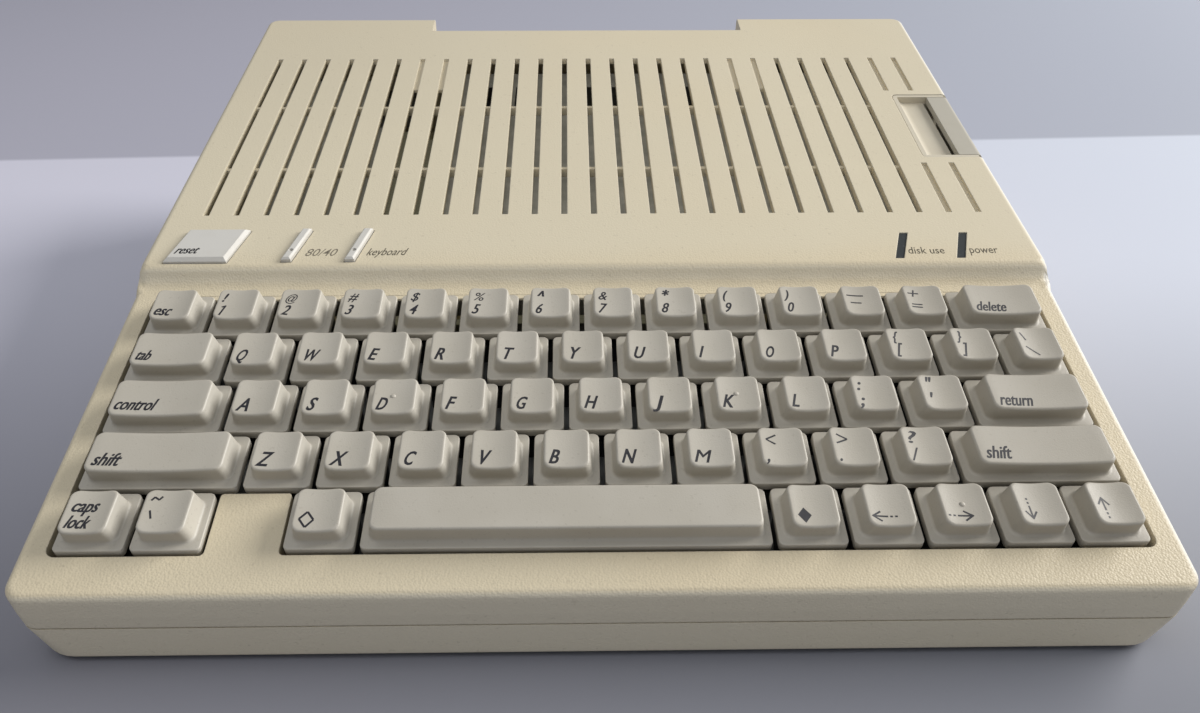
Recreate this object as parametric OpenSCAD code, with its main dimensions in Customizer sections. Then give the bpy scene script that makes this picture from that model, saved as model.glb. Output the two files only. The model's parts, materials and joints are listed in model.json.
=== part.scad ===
// Portable home computer of the eighties: a wedge of two moulded shells with a
// full keyboard, a disk drive in its right side and a carrying handle that
// folds down behind it as a stand. It stands here on that stand.

/* [Case] */
// Width of the case at its widest
case_w = 292.1; // [285:0.1:355]
// Depth of the case, front to rear
case_d = 304.8; // [295:0.1:370]
// Height of the case at its rear edge
rear_h = 56.4; // [53:0.1:70]
// Height of the keyboard deck above the case's underside, at its front edge
deck_front_h = 24.6; // [23:0.1:30]
// Slope of the keyboard deck
deck_angle = 7.3; // [5:0.1:9]
// Height of the step from the keyboard deck up to the vent deck
step_h = 5; // [4:0.1:7]
// Height of the seam between the two shells
seam_h = 12.4; // [10:0.1:14]
// Thickness of the moulded walls
wall = 2.6; // [2:0.1:3.2]
// Radius of the case's corners seen from above
corner_r = 5; // [4.5:0.1:9]
// Radius of the rounded edge along the top
edge_r = 2; // [1.5:0.1:4]
// How far the side walls lean in from the top down to the seam
draft_in = 0.6; // [0.4:0.1:2]

/* [Vent deck] */
// Number of vent slots
slot_count = 27; // [15:2:31]
// Distance between vent slots
slot_pitch = 10.16; // [8.5:0.01:10.2]
// Width of a vent slot
slot_w = 2.1; // [1.6:0.1:3]
// Length of a vent slot
slot_l = 119.4; // [100:0.1:122]
// Distance from the step to the front ends of the slots
slot_start = 30.1; // [26:0.1:36]

/* [Keyboard] */
// Distance from key to key
key_pitch = 19.05; // [16:0.01:19.3]
// Gap between the flanges of neighbouring keys
key_gap = 1.45; // [1.2:0.01:2]
// Height that the flanges stand out of the keyboard deck
key_rise = 1; // [0.5:0.1:1.5]
// Height of a key's top above its flange
cap_h = 5.8; // [4:0.1:6.5]
// Distance that a key travels
key_travel = 3.6; // [2.5:0.1:4]
// Gap between the keys and the edge of their well
well_gap = 1; // [0.8:0.1:1.6]
// Distance from the case's front to the front row of keys, along the deck
key_front = 12.8; // [12:0.1:18]

/* [Stand] */
// Tilt of the case when it stands on its handle
typing_tilt = 7.1; // [5:0.1:8.5]
// Width of the notch in the rear edge that the handle folds into
notch_w = 139.7; // [125:0.1:145]
// Depth of that notch
notch_d = 13.3; // [13:0.1:16]
// Height of the handle's hinge above the case's underside
hinge_h = 9; // [8:0.1:11]
// Thickness of the handle's grip
grip_d = 12.4; // [10:0.1:12.6]
// How far the handle leans forward of square when it is locked down
stand_lean = 16; // [13:0.1:20]
// Height of a rubber foot
foot_h = 3; // [2:0.1:4]

/* [Disk drive] */
// Width of the slot that a disk goes into
disk_slot_w = 136; // [120:0.1:138]
// Height of that slot
disk_slot_h = 6.6; // [6:0.1:8]
// Height of the middle of the slot above the case's underside
disk_h = 26.3; // [25:0.1:28]
// Distance from the case's front to the middle of the slot
disk_y = 204.5; // [200:0.1:215]
// Width of the disk latch
latch_w = 45; // [38:0.1:52]

/* [Hidden] */

$fn = 32;
fit = 0.3; // gap between parts that lie side by side
run_fit = 0.06; // gap round a turning pin
seat = 0.02; // gap between a pin and the hole that holds it
bite = 1; // how far a cut runs past the face that it opens
slant = 12.5; // lean of the buttons, in step with the slanted lettering
lamp_slant = 18.3; // lean of the lamp windows
cream = [0.83, 0.79, 0.69];
key_grey = [0.71, 0.68, 0.63];
off_white = [0.86, 0.85, 0.82];
steel = [0.62, 0.63, 0.64];
dark = [0.13, 0.13, 0.13];
board_green = [0.12, 0.33, 0.2];

// The case seen from above: x runs to the right from the middle, y to the
// rear from the front face, and z up from the underside.
half_w = case_w / 2;
row_count = 5;
key_units = 14.5;
flange_w = key_pitch - key_gap;
keys_depth = (row_count - 1) * key_pitch + flange_w;
step_y = (key_front + keys_depth + 8) * cos(deck_angle);
vent_front_h = deck_front_h + step_y * tan(deck_angle) + step_h;
vent_angle = atan((rear_h - vent_front_h) / (case_d - step_y));
inner_x = half_w - wall - 1;
notch_y = case_d - notch_d;
panel_y = case_d - draft_in;
panel_x = half_w - draft_in - corner_r - 0.15;
panel_h = seam_h + 17.6;
side_h = deck_front_h - edge_r - 0.6;
tray_edge = 1.4;

function deck_z(y) = deck_front_h + y * tan(deck_angle);
function keys_z(y) = deck_z(y) + key_rise / cos(deck_angle);
function vent_z(y) = vent_front_h + (y - step_y) * tan(vent_angle);
// Left edge of a key place, counted in key widths from the left end of a row
function key_x(left) = (left - key_units / 2) * key_pitch;
// Middle of a row of keys along the deck, rows counted from the front
function row_v(row) = key_front + flange_w / 2 + row * key_pitch;

// Keyboard, as heights out of the plane of the flanges
skirt_t = 2.8;
post_w = 5.2;
post_low = -9.3;
switch_top = -skirt_t - key_travel - 0.4;
plate_top = switch_top - 7.7;
plate_t = 1.5;
board_t = 1.6;
key_board_low = plate_top - plate_t - board_t;

// Main board, and the posts that carry it and the drive
board_z = wall + 3.8;
board_top = board_z + board_t;
board_y = step_y + 8;
board_back = notch_y - wall - 1.5;
board_left = -92;
board_right = inner_x - 4.5;
board_posts = [[-86, board_y + 6], [30, board_y + 6], [board_right - 6, board_y + 6],
    [-86, board_back - 6], [30, board_back - 6], [board_right - 6, board_back - 6],
    [-129, 190], [-101, 190], [-129, 278], [-101, 278]];

// Case screws
screw_r = 1.5;
screw_l = 11;
boss_split = seam_h - 1;
screw_head = 4;
screw_spots = [[-60, wall + 5.9], [60, wall + 5.9], [-60, step_y + 1.2], [60, step_y + 1.2],
    [-75.5, board_back - 4.4], [75.5, board_back - 4.4]];

// Small controls, as places on the vent deck
reset_x = -138.4;
reset_v = 3;
reset_w = 20.1;
reset_l = 17.4;
bar_w = 3.1;
bar_l = 17;
bar_v = 3.4;
columns_x = -100.9;
keyboard_x = -80.6;
button_travel = 2;
button_foot = -5;
lamp_x = [97, 116.9];
lamp_w = 2.75;
lamp_l = 14.2;
lamp_v = 3.7;
hung_top = -8.5;
hanger_spots = [[-138, 24], [-106, 24], [-72.5, 24.5], [90, 14], [128, 14]];

// Sound
wheel_r = 9;
wheel_x = wheel_r + 0.1 - half_w;
wheel_y = step_y + 13.5;
wheel_z = seam_h + 6;
wheel_t = 4;
audio_z = 9;
audio_top = audio_z + board_t;
jack_r = 3;
jack_y = wheel_y - 26;
jack_z = audio_top + 4.5;
speaker_x = -118;
speaker_y = wheel_y + 31;
speaker_r = 20;

// Disk drive and its latch
drive_z = board_top + 4.5;
drive_top = drive_z + 27.5;
drive_right = inner_x - 4;
drive_left = drive_right - 200;
drive_half = disk_slot_w / 2 + 5;
spindle_x = half_w - 74;
drive_posts = [[drive_left + 10, disk_y - drive_half + 7], [drive_right - 10, disk_y - drive_half + 7],
    [drive_left + 10, disk_y + drive_half - 7], [drive_right - 10, disk_y + drive_half - 7]];
latch_front = disk_y - latch_w / 2 - 2;
latch_back = disk_y + latch_w / 2 + 2;
latch_x = half_w - 23.1;
latch_in_x = half_w - 9;
latch_foot = disk_h - disk_slot_h / 2 - 2;
latch_pin_x = half_w - 15;
latch_pin_z = latch_foot + 13;
latch_pin_r = 1.5;
bezel_z = vent_z(latch_front) - 5.6;
clamp_x = spindle_x + 38;
clamp_z = disk_h + 5.7;

// Rear ports: where they stand across the panel, and their half widths
port_z = board_top + 7.8;
port_d = 12;
port_half_h = 6.2;
round_ports = [[88, 7.2], [6, 4.9], [-88, 7.2], [-106, 7.6]];
wide_ports = [[117, 15.5], [36, 19.5], [-27, 23]];
switch_x = -125;
switch_z = port_z + 3.2;
switch_half_w = 6.4;
switch_half_h = 9.4;
function port_face(x) = abs(x) < notch_w / 2 ? notch_y : panel_y;

// The stand. The handle's length follows from the tilt that it gives.
foot_r = 6.5;
foot_x = half_w - 28;
foot_y = 20;
hinge_y = notch_y + notch_d / 2;
grip_r = grip_d / 2;
contact_y = foot_y - foot_r;
handle_l = (hinge_h + foot_h + tan(typing_tilt) * (hinge_y - contact_y)
    - grip_r / cos(typing_tilt)) / (cos(stand_lean) + tan(typing_tilt) * sin(stand_lean));
arm_w = 10.6;
arm_t = 10.4;
arm_x = notch_w / 2 - 0.65;
pin_r = 2.5;
pin_in = 9.5;

// Places the case on its front feet and its stand, over the middle of its
// footprint
foot_drop = foot_h * cos(typing_tilt) - contact_y * sin(typing_tilt);
edge_y = edge_r * (cos(deck_angle) + sin(deck_angle));
edge_z = deck_front_h + edge_r * (sin(deck_angle) - cos(deck_angle));
front_reach = edge_r - edge_y * cos(typing_tilt) + edge_z * sin(typing_tilt);
rear_reach = (panel_y - 0.1 - tray_edge) * cos(typing_tilt) + tray_edge * (1 - sin(typing_tilt));
middle_y = (rear_reach - front_reach) / 2;

module place() {
    translate([0, -middle_y, foot_drop])
        rotate([typing_tilt, 0, 0]) children();
}

// Working plane on the keyboard deck: y runs up the slope, z out of it
module on_deck() {
    translate([0, 0, deck_front_h]) rotate([deck_angle, 0, 0]) children();
}

// Plane of the tops of the key flanges
module on_keys() {
    on_deck() translate([0, 0, key_rise]) children();
}

// Working plane on the vent deck, from the top of the step
module on_vent() {
    translate([0, step_y, vent_front_h]) rotate([vent_angle, 0, 0]) children();
}

// Box given by its low and high corners
module span_box(low, high) {
    translate(low) cube(high - low);
}

module soft_square(size, r) {
    translate([r, 0]) square([size[0] - 2 * r, size[1]]);
    translate([0, r]) square([size[0], size[1] - 2 * r]);
    for (x = [r, size[0] - r])
        for (y = [r, size[1] - r])
            translate([x, y]) circle(r);
}

// Box with rounded upright edges, given by its low and high corners
module soft_box(low, high, r) {
    size = high - low;
    translate(low) linear_extrude(size[2]) soft_square([size[0], size[1]], r);
}

// Solid of one side view (y, z), with a width centred on x
module side_prism(points, width, x = 0) {
    translate([x - width / 2, 0, 0]) rotate([90, 0, 90])
        linear_extrude(width) polygon(points);
}

// Cylinder along x or along y, from a start point
module x_rod(start, r, h) {
    translate(start) rotate([0, 90, 0]) cylinder(r = r, h = h);
}

module y_rod(start, r, h) {
    translate(start) rotate([-90, 0, 0]) cylinder(r = r, h = h);
}

// Box that leans to the right as it goes back, grown all round
module slant_box(x, y, w, l, low, high, grow = 0, angle = slant) {
    lean = (l + 2 * grow) * tan(angle);
    start = -grow * tan(angle) - grow;
    translate([x, y - grow, low]) linear_extrude(high - low)
        polygon([[start, 0], [start + w + 2 * grow, 0],
            [start + w + 2 * grow + lean, l + 2 * grow], [start + lean, l + 2 * grow]]);
}

/* Shells */

// Thin outline of the case at one height, drawn in from its widest
module outline_at(z, inset, front, back) {
    for (x = [inset + corner_r - half_w, half_w - inset - corner_r])
        for (y = [front + inset + corner_r, back - inset - corner_r])
            translate([x, y, z]) cylinder(r = corner_r, h = 0.2, center = true);
}

// Disc with a rounded rim, whose middle ring lies at the given radius
module round_corner(r, ring) {
    rotate_extrude() intersection() {
        translate([ring, 0]) circle(r, $fn = 24);
        translate([0, -r]) square([ring + r, 2 * r]);
    }
}

// Two rounded top corners, v up the slope of the plane that they lie in
module top_corners(v, r, ring) {
    for (side = [-1, 1])
        translate([side * (half_w - r - ring), v, -r]) round_corner(r, ring);
}

// Keyboard half of the upper shell, from the front face to behind the step
module keyboard_block() {
    hidden = step_y + 20;
    hull() {
        on_deck() {
            top_corners(corner_r, edge_r, corner_r - edge_r);
            top_corners(step_y + 8, edge_r, corner_r - edge_r);
        }
        outline_at(side_h, 0.2, 0, hidden);
        outline_at((side_h + seam_h) / 2, draft_in * 0.5, 0, hidden);
        outline_at(seam_h + 0.3, draft_in, 0, hidden);
    }
}

// Vent half of the upper shell, from the step to the rear face
module vent_block() {
    step_r = 2.6;
    step_ring = 1.4;
    back = (case_d - step_y) / cos(vent_angle) - corner_r;
    hull() {
        on_vent() {
            top_corners(step_r + step_ring, step_r, step_ring);
            top_corners(back, edge_r, corner_r - edge_r);
        }
        outline_at(side_h, 0.2, step_y, case_d);
        outline_at((side_h + seam_h) / 2, draft_in * 0.5, step_y, case_d);
        outline_at(seam_h + 0.3, draft_in, step_y, case_d);
    }
}

// Hollow curve at the foot of the step
module step_foot() {
    r = 2.6;
    foot = deck_z(step_y);
    arc = [for (a = [0:15:90]) [step_y - r + r * sin(a), foot + r - r * cos(a)]];
    intersection() {
        side_prism(concat(arc, [[step_y + 4, foot + r], [step_y + 4, foot - 3],
            [step_y - r, foot - 3]]), case_w);
        translate([0, 0, r]) keyboard_block();
    }
}

// Space inside the two shells above the seam
module upper_inside() {
    back = case_d - wall;
    deck_in = wall / cos(deck_angle);
    vent_in = wall / cos(vent_angle);
    turn = step_y + wall;
    difference() {
        intersection() {
            side_prism([[wall + 1, seam_h - bite], [wall + 1, deck_z(wall + 1) - deck_in],
                [turn, deck_z(turn) - deck_in], [turn, vent_z(turn) - vent_in],
                [back, vent_z(back) - vent_in], [back, seam_h - bite]], case_w);
            soft_box([-inner_x, wall + 1, 0], [inner_x, back, rear_h + 20], corner_r - 2);
        }
        span_box([-notch_w / 2 - wall, notch_y - wall, 0],
            [notch_w / 2 + wall, case_d + bite, rear_h + 20]);
    }
}

// Outline of the key well on the deck plane, made wider by grow. A tongue of
// the case fills the one place in the front row that has no key, and its foot
// is rounded into the edge of the well.
module well_outline(grow = 0) {
    side_gap = key_gap / 2;
    half = key_units * key_pitch / 2 - side_gap + well_gap + 0.8;
    front = key_front - well_gap;
    back = key_front + keys_depth + well_gap;
    tongue_left = key_x(2) - side_gap + well_gap;
    tongue_right = key_x(3) + side_gap - well_gap;
    tongue_v = key_front + flange_w + 0.3;
    r = 2.8;
    foot_round = 1.4 + grow;
    difference() {
        translate([-half - grow, front - grow])
            soft_square([2 * (half + grow), back - front + 2 * grow], r + grow);
        for (side = [[tongue_left + grow, -1], [tongue_right - grow, 1]])
            translate([side[0], front - grow]) difference() {
                translate([side[1] > 0 ? -bite : -foot_round, -bite])
                    square(foot_round + bite);
                translate([side[1] * foot_round, foot_round]) circle(foot_round);
            }
        translate([tongue_left + grow, front - grow - bite])
            soft_square([tongue_right - tongue_left - 2 * grow,
                tongue_v - front + bite], 1);
    }
}

module key_well(grow, low, high) {
    on_deck() translate([0, 0, low]) linear_extrude(high - low) well_outline(grow);
}

// Slots of the vent deck. The ones over the handle's hinges, and those in
// front of and behind the latch, have closed bottoms.
module vent_slots() {
    last = slot_count - 1;
    closed_l = 26;
    shallow = 1.2;
    slot_end = slot_start + slot_l;
    for (i = [0:last]) {
        x = (i - last / 2) * slot_pitch - slot_w / 2;
        over_hinge = abs(abs(x + slot_w / 2) - notch_w / 2 + 4) < 7;
        by_latch = i > last - 2;
        if (by_latch) {
            span_box([x, slot_start, -shallow], [x + slot_w, latch_front - 3.8 - step_y, bite]);
            span_box([x, latch_back + 3.8 - step_y, -shallow], [x + slot_w, slot_end, bite]);
        } else {
            open_end = over_hinge ? slot_end - closed_l : slot_end;
            span_box([x, slot_start, -wall - bite], [x + slot_w, open_end, bite]);
            if (over_hinge)
                span_box([x, open_end - bite, -shallow], [x + slot_w, slot_end, bite]);
        }
    }
}

// Ribs that tie the slotted deck together from below
module vent_ribs() {
    left = -slot_count * slot_pitch / 2;
    for (part = [0.26, 0.65])
        translate([left, slot_start + part * slot_l, -wall - 2])
            cube([latch_x - 6 - left, 1.6, wall + 0.7]);
}

// Column that takes a case screw from below
module screw_boss(spot) {
    top = spot[1] < step_y + 5 ? deck_z(spot[1] - 3.4) : vent_z(spot[1]);
    difference() {
        translate([spot[0], spot[1], boss_split])
            cylinder(r = 3.4, h = top - wall * 0.6 - boss_split);
        translate([spot[0], spot[1], boss_split - bite])
            cylinder(r = screw_r + seat, h = screw_l);
    }
}

module upper_case() {
    color(cream) place() difference() {
        union() {
            difference() {
                union() {
                    keyboard_block();
                    vent_block();
                    step_foot();
                }
                upper_inside();
                key_well(0, -12, 6);
                on_vent() vent_slots();
            }
            difference() {
                key_well(wall * 0.6, -9, -0.6);
                key_well(0, -12, 6);
            }
            on_vent() vent_ribs();
            for (spot = screw_spots)
                screw_boss(spot);
            on_vent() for (spot = hanger_spots)
                translate([spot[0], spot[1], hung_top])
                    cylinder(r = 2, h = -hung_top - wall * 0.6);
        }
        span_box([-half_w - bite, -bite, -bite], [half_w + bite, case_d + bite, seam_h + 0.2]);
        // notch for the folded handle, and the place of the rear panel
        span_box([-notch_w / 2, notch_y, 0], [notch_w / 2, case_d + bite, rear_h + 20]);
        span_box([-panel_x - fit, notch_y - wall - bite, 0],
            [panel_x + fit, case_d + bite, panel_h + fit]);
        // disk slot and latch in the right side
        span_box([inner_x - bite, disk_y - disk_slot_w / 2, disk_h - disk_slot_h / 2],
            [half_w + bite, disk_y + disk_slot_w / 2, disk_h + disk_slot_h / 2]);
        soft_box([latch_x, latch_front, latch_foot], [half_w + 9, latch_back, rear_h + 20], 2);
        // volume wheel and headphone socket in the left side
        span_box([-half_w - bite, wheel_y - wheel_r - 0.7, wheel_z - wheel_t / 2 - 0.6],
            [bite - inner_x, wheel_y + wheel_r + 0.7, wheel_z + wheel_t / 2 + 0.6]);
        x_rod([-half_w - bite, jack_y, jack_z], jack_r + 0.2, wall + 4);
        on_vent() {
            reset_shape(-8, 6, fit);
            bar_shape(columns_x, -8, 6, fit);
            bar_shape(keyboard_x, -8, 6, fit);
            for (x = lamp_x)
                lamp_shape(x, -8, 6, 0.05);
        }
    }
}

// Tray of the lower shell: its corners grow rounder towards the bottom
module tray_outside() {
    r = tray_edge;
    foot_corner = corner_r + 5.5;
    low_in = draft_in + 0.1 + foot_corner;
    hull() {
        outline_at(seam_h - 0.3, draft_in, 0, case_d);
        for (x = [low_in - half_w, half_w - low_in])
            for (y = [low_in, case_d - low_in])
                translate([x, y, r]) round_corner(r, foot_corner - r);
    }
}

// Side view of the rear panel
module panel_prism(front, top, width, x = 0) {
    foot = wall - 0.4;
    side_prism([[front, foot], [panel_y - 0.1, foot], [panel_y, seam_h - 0.3], [panel_y, top],
        [front, top]], width, x);
}

// Rear wall with the ports, set in at the middle behind the folded handle
module rear_panel() {
    side_in = notch_w / 2 + wall;
    room = panel_x - wall - side_in;
    difference() {
        panel_prism(notch_y - wall, panel_h, 2 * panel_x);
        span_box([-notch_w / 2, notch_y, 0], [notch_w / 2, case_d + bite, panel_h + bite]);
        for (low = [side_in, -side_in - room])
            span_box([low, notch_y - wall - bite, 0],
                [low + room, panel_y - wall, panel_h + bite]);
    }
}

// Openings of the rear panel
module port_holes() {
    for (port = round_ports)
        y_rod([port[0], port_face(port[0]) - wall - bite, port_z], port[1] + 0.25, wall + 2 * bite);
    for (port = wide_ports)
        span_box([port[0] - port[1] - fit, port_face(port[0]) - wall - bite,
            port_z - port_half_h - fit], [port[0] + port[1] + fit,
            port_face(port[0]) + bite, port_z + port_half_h + fit]);
    span_box([switch_x - switch_half_w - 0.2, panel_y - wall - bite, switch_z - switch_half_h - 0.2],
        [switch_x + switch_half_w + 0.2, panel_y + bite, switch_z + switch_half_h + 0.2]);
}

// Room for the arms of the handle where it leans against the shell
module arm_space() {
    for (side = [-1, 1])
        translate([side * (arm_x - arm_w / 2), hinge_y, hinge_h])
            rotate([-stand_lean, 0, 0])
                translate([-arm_w / 2 - 0.4, -arm_t / 2 - 0.12, -20])
                    cube([arm_w + 0.8, arm_t / 2, 20]);
}

module lower_case() {
    lip_x = inner_x - fit;
    lip_y = wall + 1 + fit;
    color(cream) place() difference() {
        union() {
            difference() {
                union() {
                    tray_outside();
                    soft_box([-lip_x, lip_y, wall], [lip_x, case_d - lip_y + 1, seam_h + 2],
                        corner_r - 2);
                }
                soft_box([1.2 - lip_x, lip_y + 1.8, wall],
                    [lip_x - 1.2, panel_y - wall - 0.2, seam_h + 10], corner_r - 1);
                span_box([-panel_x, notch_y - wall, seam_h - 0.2],
                    [panel_x, case_d + bite, seam_h + 10]);
                span_box([-notch_w / 2, notch_y, -bite],
                    [notch_w / 2, case_d + bite, seam_h + 10]);
            }
            rear_panel();
            // blocks that hold the handle's pins
            for (side = [-1, 1])
                panel_prism(notch_y, hinge_h + 8, pin_in, side * (notch_w + pin_in) / 2);
            for (spot = screw_spots)
                translate([spot[0], spot[1], wall - 0.4])
                    cylinder(r = 4.2, h = boss_split - 0.1 - wall + 0.4);
            for (x = [-100, 100])
                for (y = [30, 98])
                    translate([x, y, wall - 0.4])
                        cylinder(r = 3, h = keys_z(y - 3) + key_board_low / cos(deck_angle)
                            - wall + 0.35);
            for (spot = board_posts)
                translate([spot[0], spot[1], wall - 0.4])
                    cylinder(r = 3, h = board_z - wall + 0.4);
            for (spot = drive_posts)
                translate([spot[0], spot[1], wall - 0.4])
                    cylinder(r = 3, h = drive_z - wall + 0.4);
            for (y = [jack_y - 5, wheel_y + 6])
                translate([-115, y, wall - 0.4])
                    cylinder(r = 3, h = audio_z - wall + 0.4);
        }
        for (spot = screw_spots) {
            translate([spot[0], spot[1], -bite]) cylinder(r = 3.4, h = screw_head + bite);
            translate([spot[0], spot[1], 0]) cylinder(r = screw_r + 0.25, h = seam_h + 5);
            translate([spot[0], spot[1], boss_split - 0.1]) cylinder(r = 3.8, h = 6);
        }
        for (x = [notch_w / 2 - bite, -notch_w / 2 - pin_in + 0.5])
            x_rod([x, hinge_y, hinge_h], pin_r + seat, pin_in + 0.5);
        x_rod([-half_w, jack_y, jack_z], jack_r + 0.4, wall + 6);
        arm_space();
        port_holes();
        // air slots, and holes in front of the loudspeaker
        for (x = [-60:12:108])
            span_box([x - 1.2, 148, -bite], [x + 1.2, 198, wall + bite]);
        for (a = [0:45:315])
            translate([speaker_x + 11 * cos(a), speaker_y + 11 * sin(a), -bite])
                cylinder(r = 1.5, h = wall + 2 * bite, $fn = 16);
    }
}

module case_screws() {
    color(steel) place() for (spot = screw_spots)
        translate([spot[0], spot[1], screw_head - 2.2]) {
            cylinder(r = 2.9, h = 2.2 - seat);
            cylinder(r = screw_r, h = screw_l + boss_split - screw_head - 1);
        }
}

module rubber_feet() {
    color(dark) place() for (x = [-foot_x, foot_x])
        for (y = [foot_y, case_d - 26])
            translate([x, y, -foot_h]) cylinder(r = foot_r, h = foot_h);
}

/* Handle */

module handle() {
    color(cream) place() translate([0, hinge_y, hinge_h]) rotate([-stand_lean, 0, 0])
        difference() {
            union() {
                for (x = [-arm_x, arm_x - arm_w]) {
                    translate([x, -arm_t / 2, -handle_l]) cube([arm_w, arm_t, handle_l]);
                    x_rod([x, 0, 0], arm_t / 2, arm_w);
                }
                x_rod([-arm_x, 0, -handle_l], grip_r, 2 * arm_x);
                translate([-arm_x, -grip_r, -handle_l]) cube([2 * arm_x, grip_d, 8]);
            }
            for (x = [-arm_x - bite, arm_x - arm_w + 1])
                x_rod([x, 0, 0], pin_r + run_fit, arm_w);
        }
}

module pivot_pins() {
    color(steel) place() {
        for (x = [arm_x - arm_w + 1.2, -notch_w / 2 - pin_in + 0.7])
            x_rod([x, hinge_y, hinge_h], pin_r, notch_w / 2 + pin_in - 0.7 - arm_x + arm_w - 1.2);
        for (y = [latch_front - 2.6, latch_back - 4.6])
            y_rod([latch_pin_x, y, latch_pin_z], latch_pin_r, 7.2);
    }
}

/* Keyboard */

// Places of all the keys: row from the front, left edge and width in key widths
all_keys = concat(
    [for (i = [0:12]) [4, i, 1]], [[4, 13, 1.5]],
    [[3, 0, 1.5]], [for (i = [0:12]) [3, i + 1.5, 1]],
    [[2, 0, 1.75]], [for (i = [0:10]) [2, i + 1.75, 1]], [[2, 12.75, 1.75]],
    [[1, 0, 2.25]], [for (i = [0:9]) [1, i + 2.25, 1]], [[1, 12.25, 2.25]],
    [[0, 0, 1], [0, 1, 1], [0, 3, 1], [0, 4, 5.5]], [for (i = [0:4]) [0, i + 9.5, 1]]);

module at_key(place_of) {
    translate([key_x(place_of[1] + place_of[2] / 2), row_v(place_of[0]), 0]) children();
}

module centred_soft(w, l, h, r) {
    translate([-w / 2, -l / 2, 0]) linear_extrude(h) soft_square([w, l], r, $fn = 16);
}

// One key: a flange with a raised top, dished unless it is the space bar, and
// a square post that slides in its switch
module key(row, left, span = 1, dished = true) {
    w = span * key_pitch - key_gap;
    cap_w = w - 4.2;
    cap_l = flange_w - 4.4;
    top_w = w - 5.6;
    top_l = flange_w - 4.9;
    dish_r = (top_w * top_w / 4 + 0.64) / 1.6;
    color(key_grey) place() on_keys() at_key([row, left, span]) {
        difference() {
            union() {
                translate([0, 0, -skirt_t]) centred_soft(w, flange_w, skirt_t, 1.2);
                hull() {
                    translate([0, -0.1, -0.2]) centred_soft(cap_w, cap_l, 0.2, 2);
                    translate([0, -0.8, cap_h - 0.2]) centred_soft(top_w, top_l, 0.6, 1.8);
                }
            }
            if (dished)
                // turned a little, so that the cylinder's seam stays out of the dish
                translate([0, 0, cap_h - 0.4 + dish_r]) rotate([0, 8, 0])
                    y_rod([0, -flange_w, 0], dish_r, 2 * flange_w, $fn = 64 + 8 * w);
            else
                translate([-w, -flange_w, cap_h]) cube([2 * w, 2 * flange_w, 2]);
        }
        translate([-post_w / 2, -post_w / 2, post_low]) cube([post_w, post_w, -post_low - 1]);
    }
}

module key_run(row, first, count) {
    for (i = [0:count - 1])
        key(row, first + i);
}

module key_escape() { key(4, 0); }
module keys_numbers_left() { key_run(4, 1, 6); }
module keys_numbers_right() { key_run(4, 7, 6); }
module key_delete() { key(4, 13, 1.5); }
module key_tab() { key(3, 0, 1.5); }
module keys_upper_left() { key_run(3, 1.5, 6); }
module keys_upper_right() { key_run(3, 7.5, 6); }
module key_backslash() { key(3, 13.5); }
module key_control() { key(2, 0, 1.75); }
module keys_home_left() { key_run(2, 1.75, 5); }
module keys_home_right() { key_run(2, 6.75, 6); }
module key_return() { key(2, 12.75, 1.75); }
module key_left_shift() { key(1, 0, 2.25); }
module keys_lower_left() { key_run(1, 2.25, 5); }
module keys_lower_right() { key_run(1, 7.25, 5); }
module key_right_shift() { key(1, 12.25, 2.25); }
module key_caps_lock() { key(0, 0); }
module key_accent() { key(0, 1); }
module key_open_symbol() { key(0, 3); }
module space_bar() { key(0, 4, 5.5, false); }
module key_solid_symbol() { key(0, 9.5); }
module key_arrow_left() { key(0, 10.5); }
module key_arrow_right() { key(0, 11.5); }
module key_arrow_down() { key(0, 12.5); }
module key_arrow_up() { key(0, 13.5); }

module key_switches() {
    body = 13.8;
    hole = post_w + 0.6;
    color(dark) place() on_keys() for (spot = all_keys)
        at_key(spot) {
            translate([0, 0, plate_top + 1]) linear_extrude(switch_top - plate_top - 1)
                difference() {
                    square(body, center = true);
                    square(hole, center = true);
                }
            translate([-body / 2, -body / 2, plate_top]) cube([body, body, 1]);
        }
}

// Flat piece under the whole keyboard
module under_keys(low, thick, margin) {
    half = key_units * key_pitch / 2 + margin;
    on_keys() span_box([-half, key_front - 1 - margin, low],
        [half, key_front + keys_depth + 1 + margin, low + thick]);
}

module key_plate() {
    color(steel) place() under_keys(plate_top - plate_t, plate_t, 0.5);
}

module keyboard_board() {
    color(board_green) place() under_keys(key_board_low, board_t, 0);
}

/* Electronics */

module main_board() {
    color(board_green) place() difference() {
        span_box([board_left, board_y, board_z], [board_right, board_back, board_top]);
        for (spot = concat(drive_posts, screw_spots))
            translate([spot[0], spot[1], board_z - bite]) cylinder(r = 4.6, h = board_t + 2 * bite);
    }
}

module board_chips() {
    color(dark) place() {
        for (x = [-30:24:114])
            for (y = [156, 178])
                span_box([x, y, board_top], [x + 15, y + 7.5, board_top + 3.6]);
        for (x = [-20, 50])
            span_box([x, 214, board_top], [x + 51, 228, board_top + 3.8]);
    }
}

// Flat cables: from the keyboard and from the drive down to the main board
module ribbon_cables() {
    t = 0.8;
    rear = (key_front + keys_depth + 1) * cos(deck_angle)
        - (key_board_low + key_rise) * sin(deck_angle);
    top = keys_z(rear) + key_board_low / cos(deck_angle) + 0.6;
    color([0.55, 0.55, 0.57]) place() {
        side_prism([[rear + 0.2, top], [rear + 0.2, top + t], [board_y + 4, board_top + 5],
            [board_y + 4, board_top], [board_y + 4 - t, board_top],
            [board_y + 4 - t, board_top + 5 - t]], 40, -20);
        span_box([drive_left - 3, 225, board_top], [drive_left - 3 + t, 255, drive_z + 6]);
        span_box([drive_left - 3, 225, drive_z + 6], [drive_left - 0.1, 255, drive_z + 6 + t]);
    }
}

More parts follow.
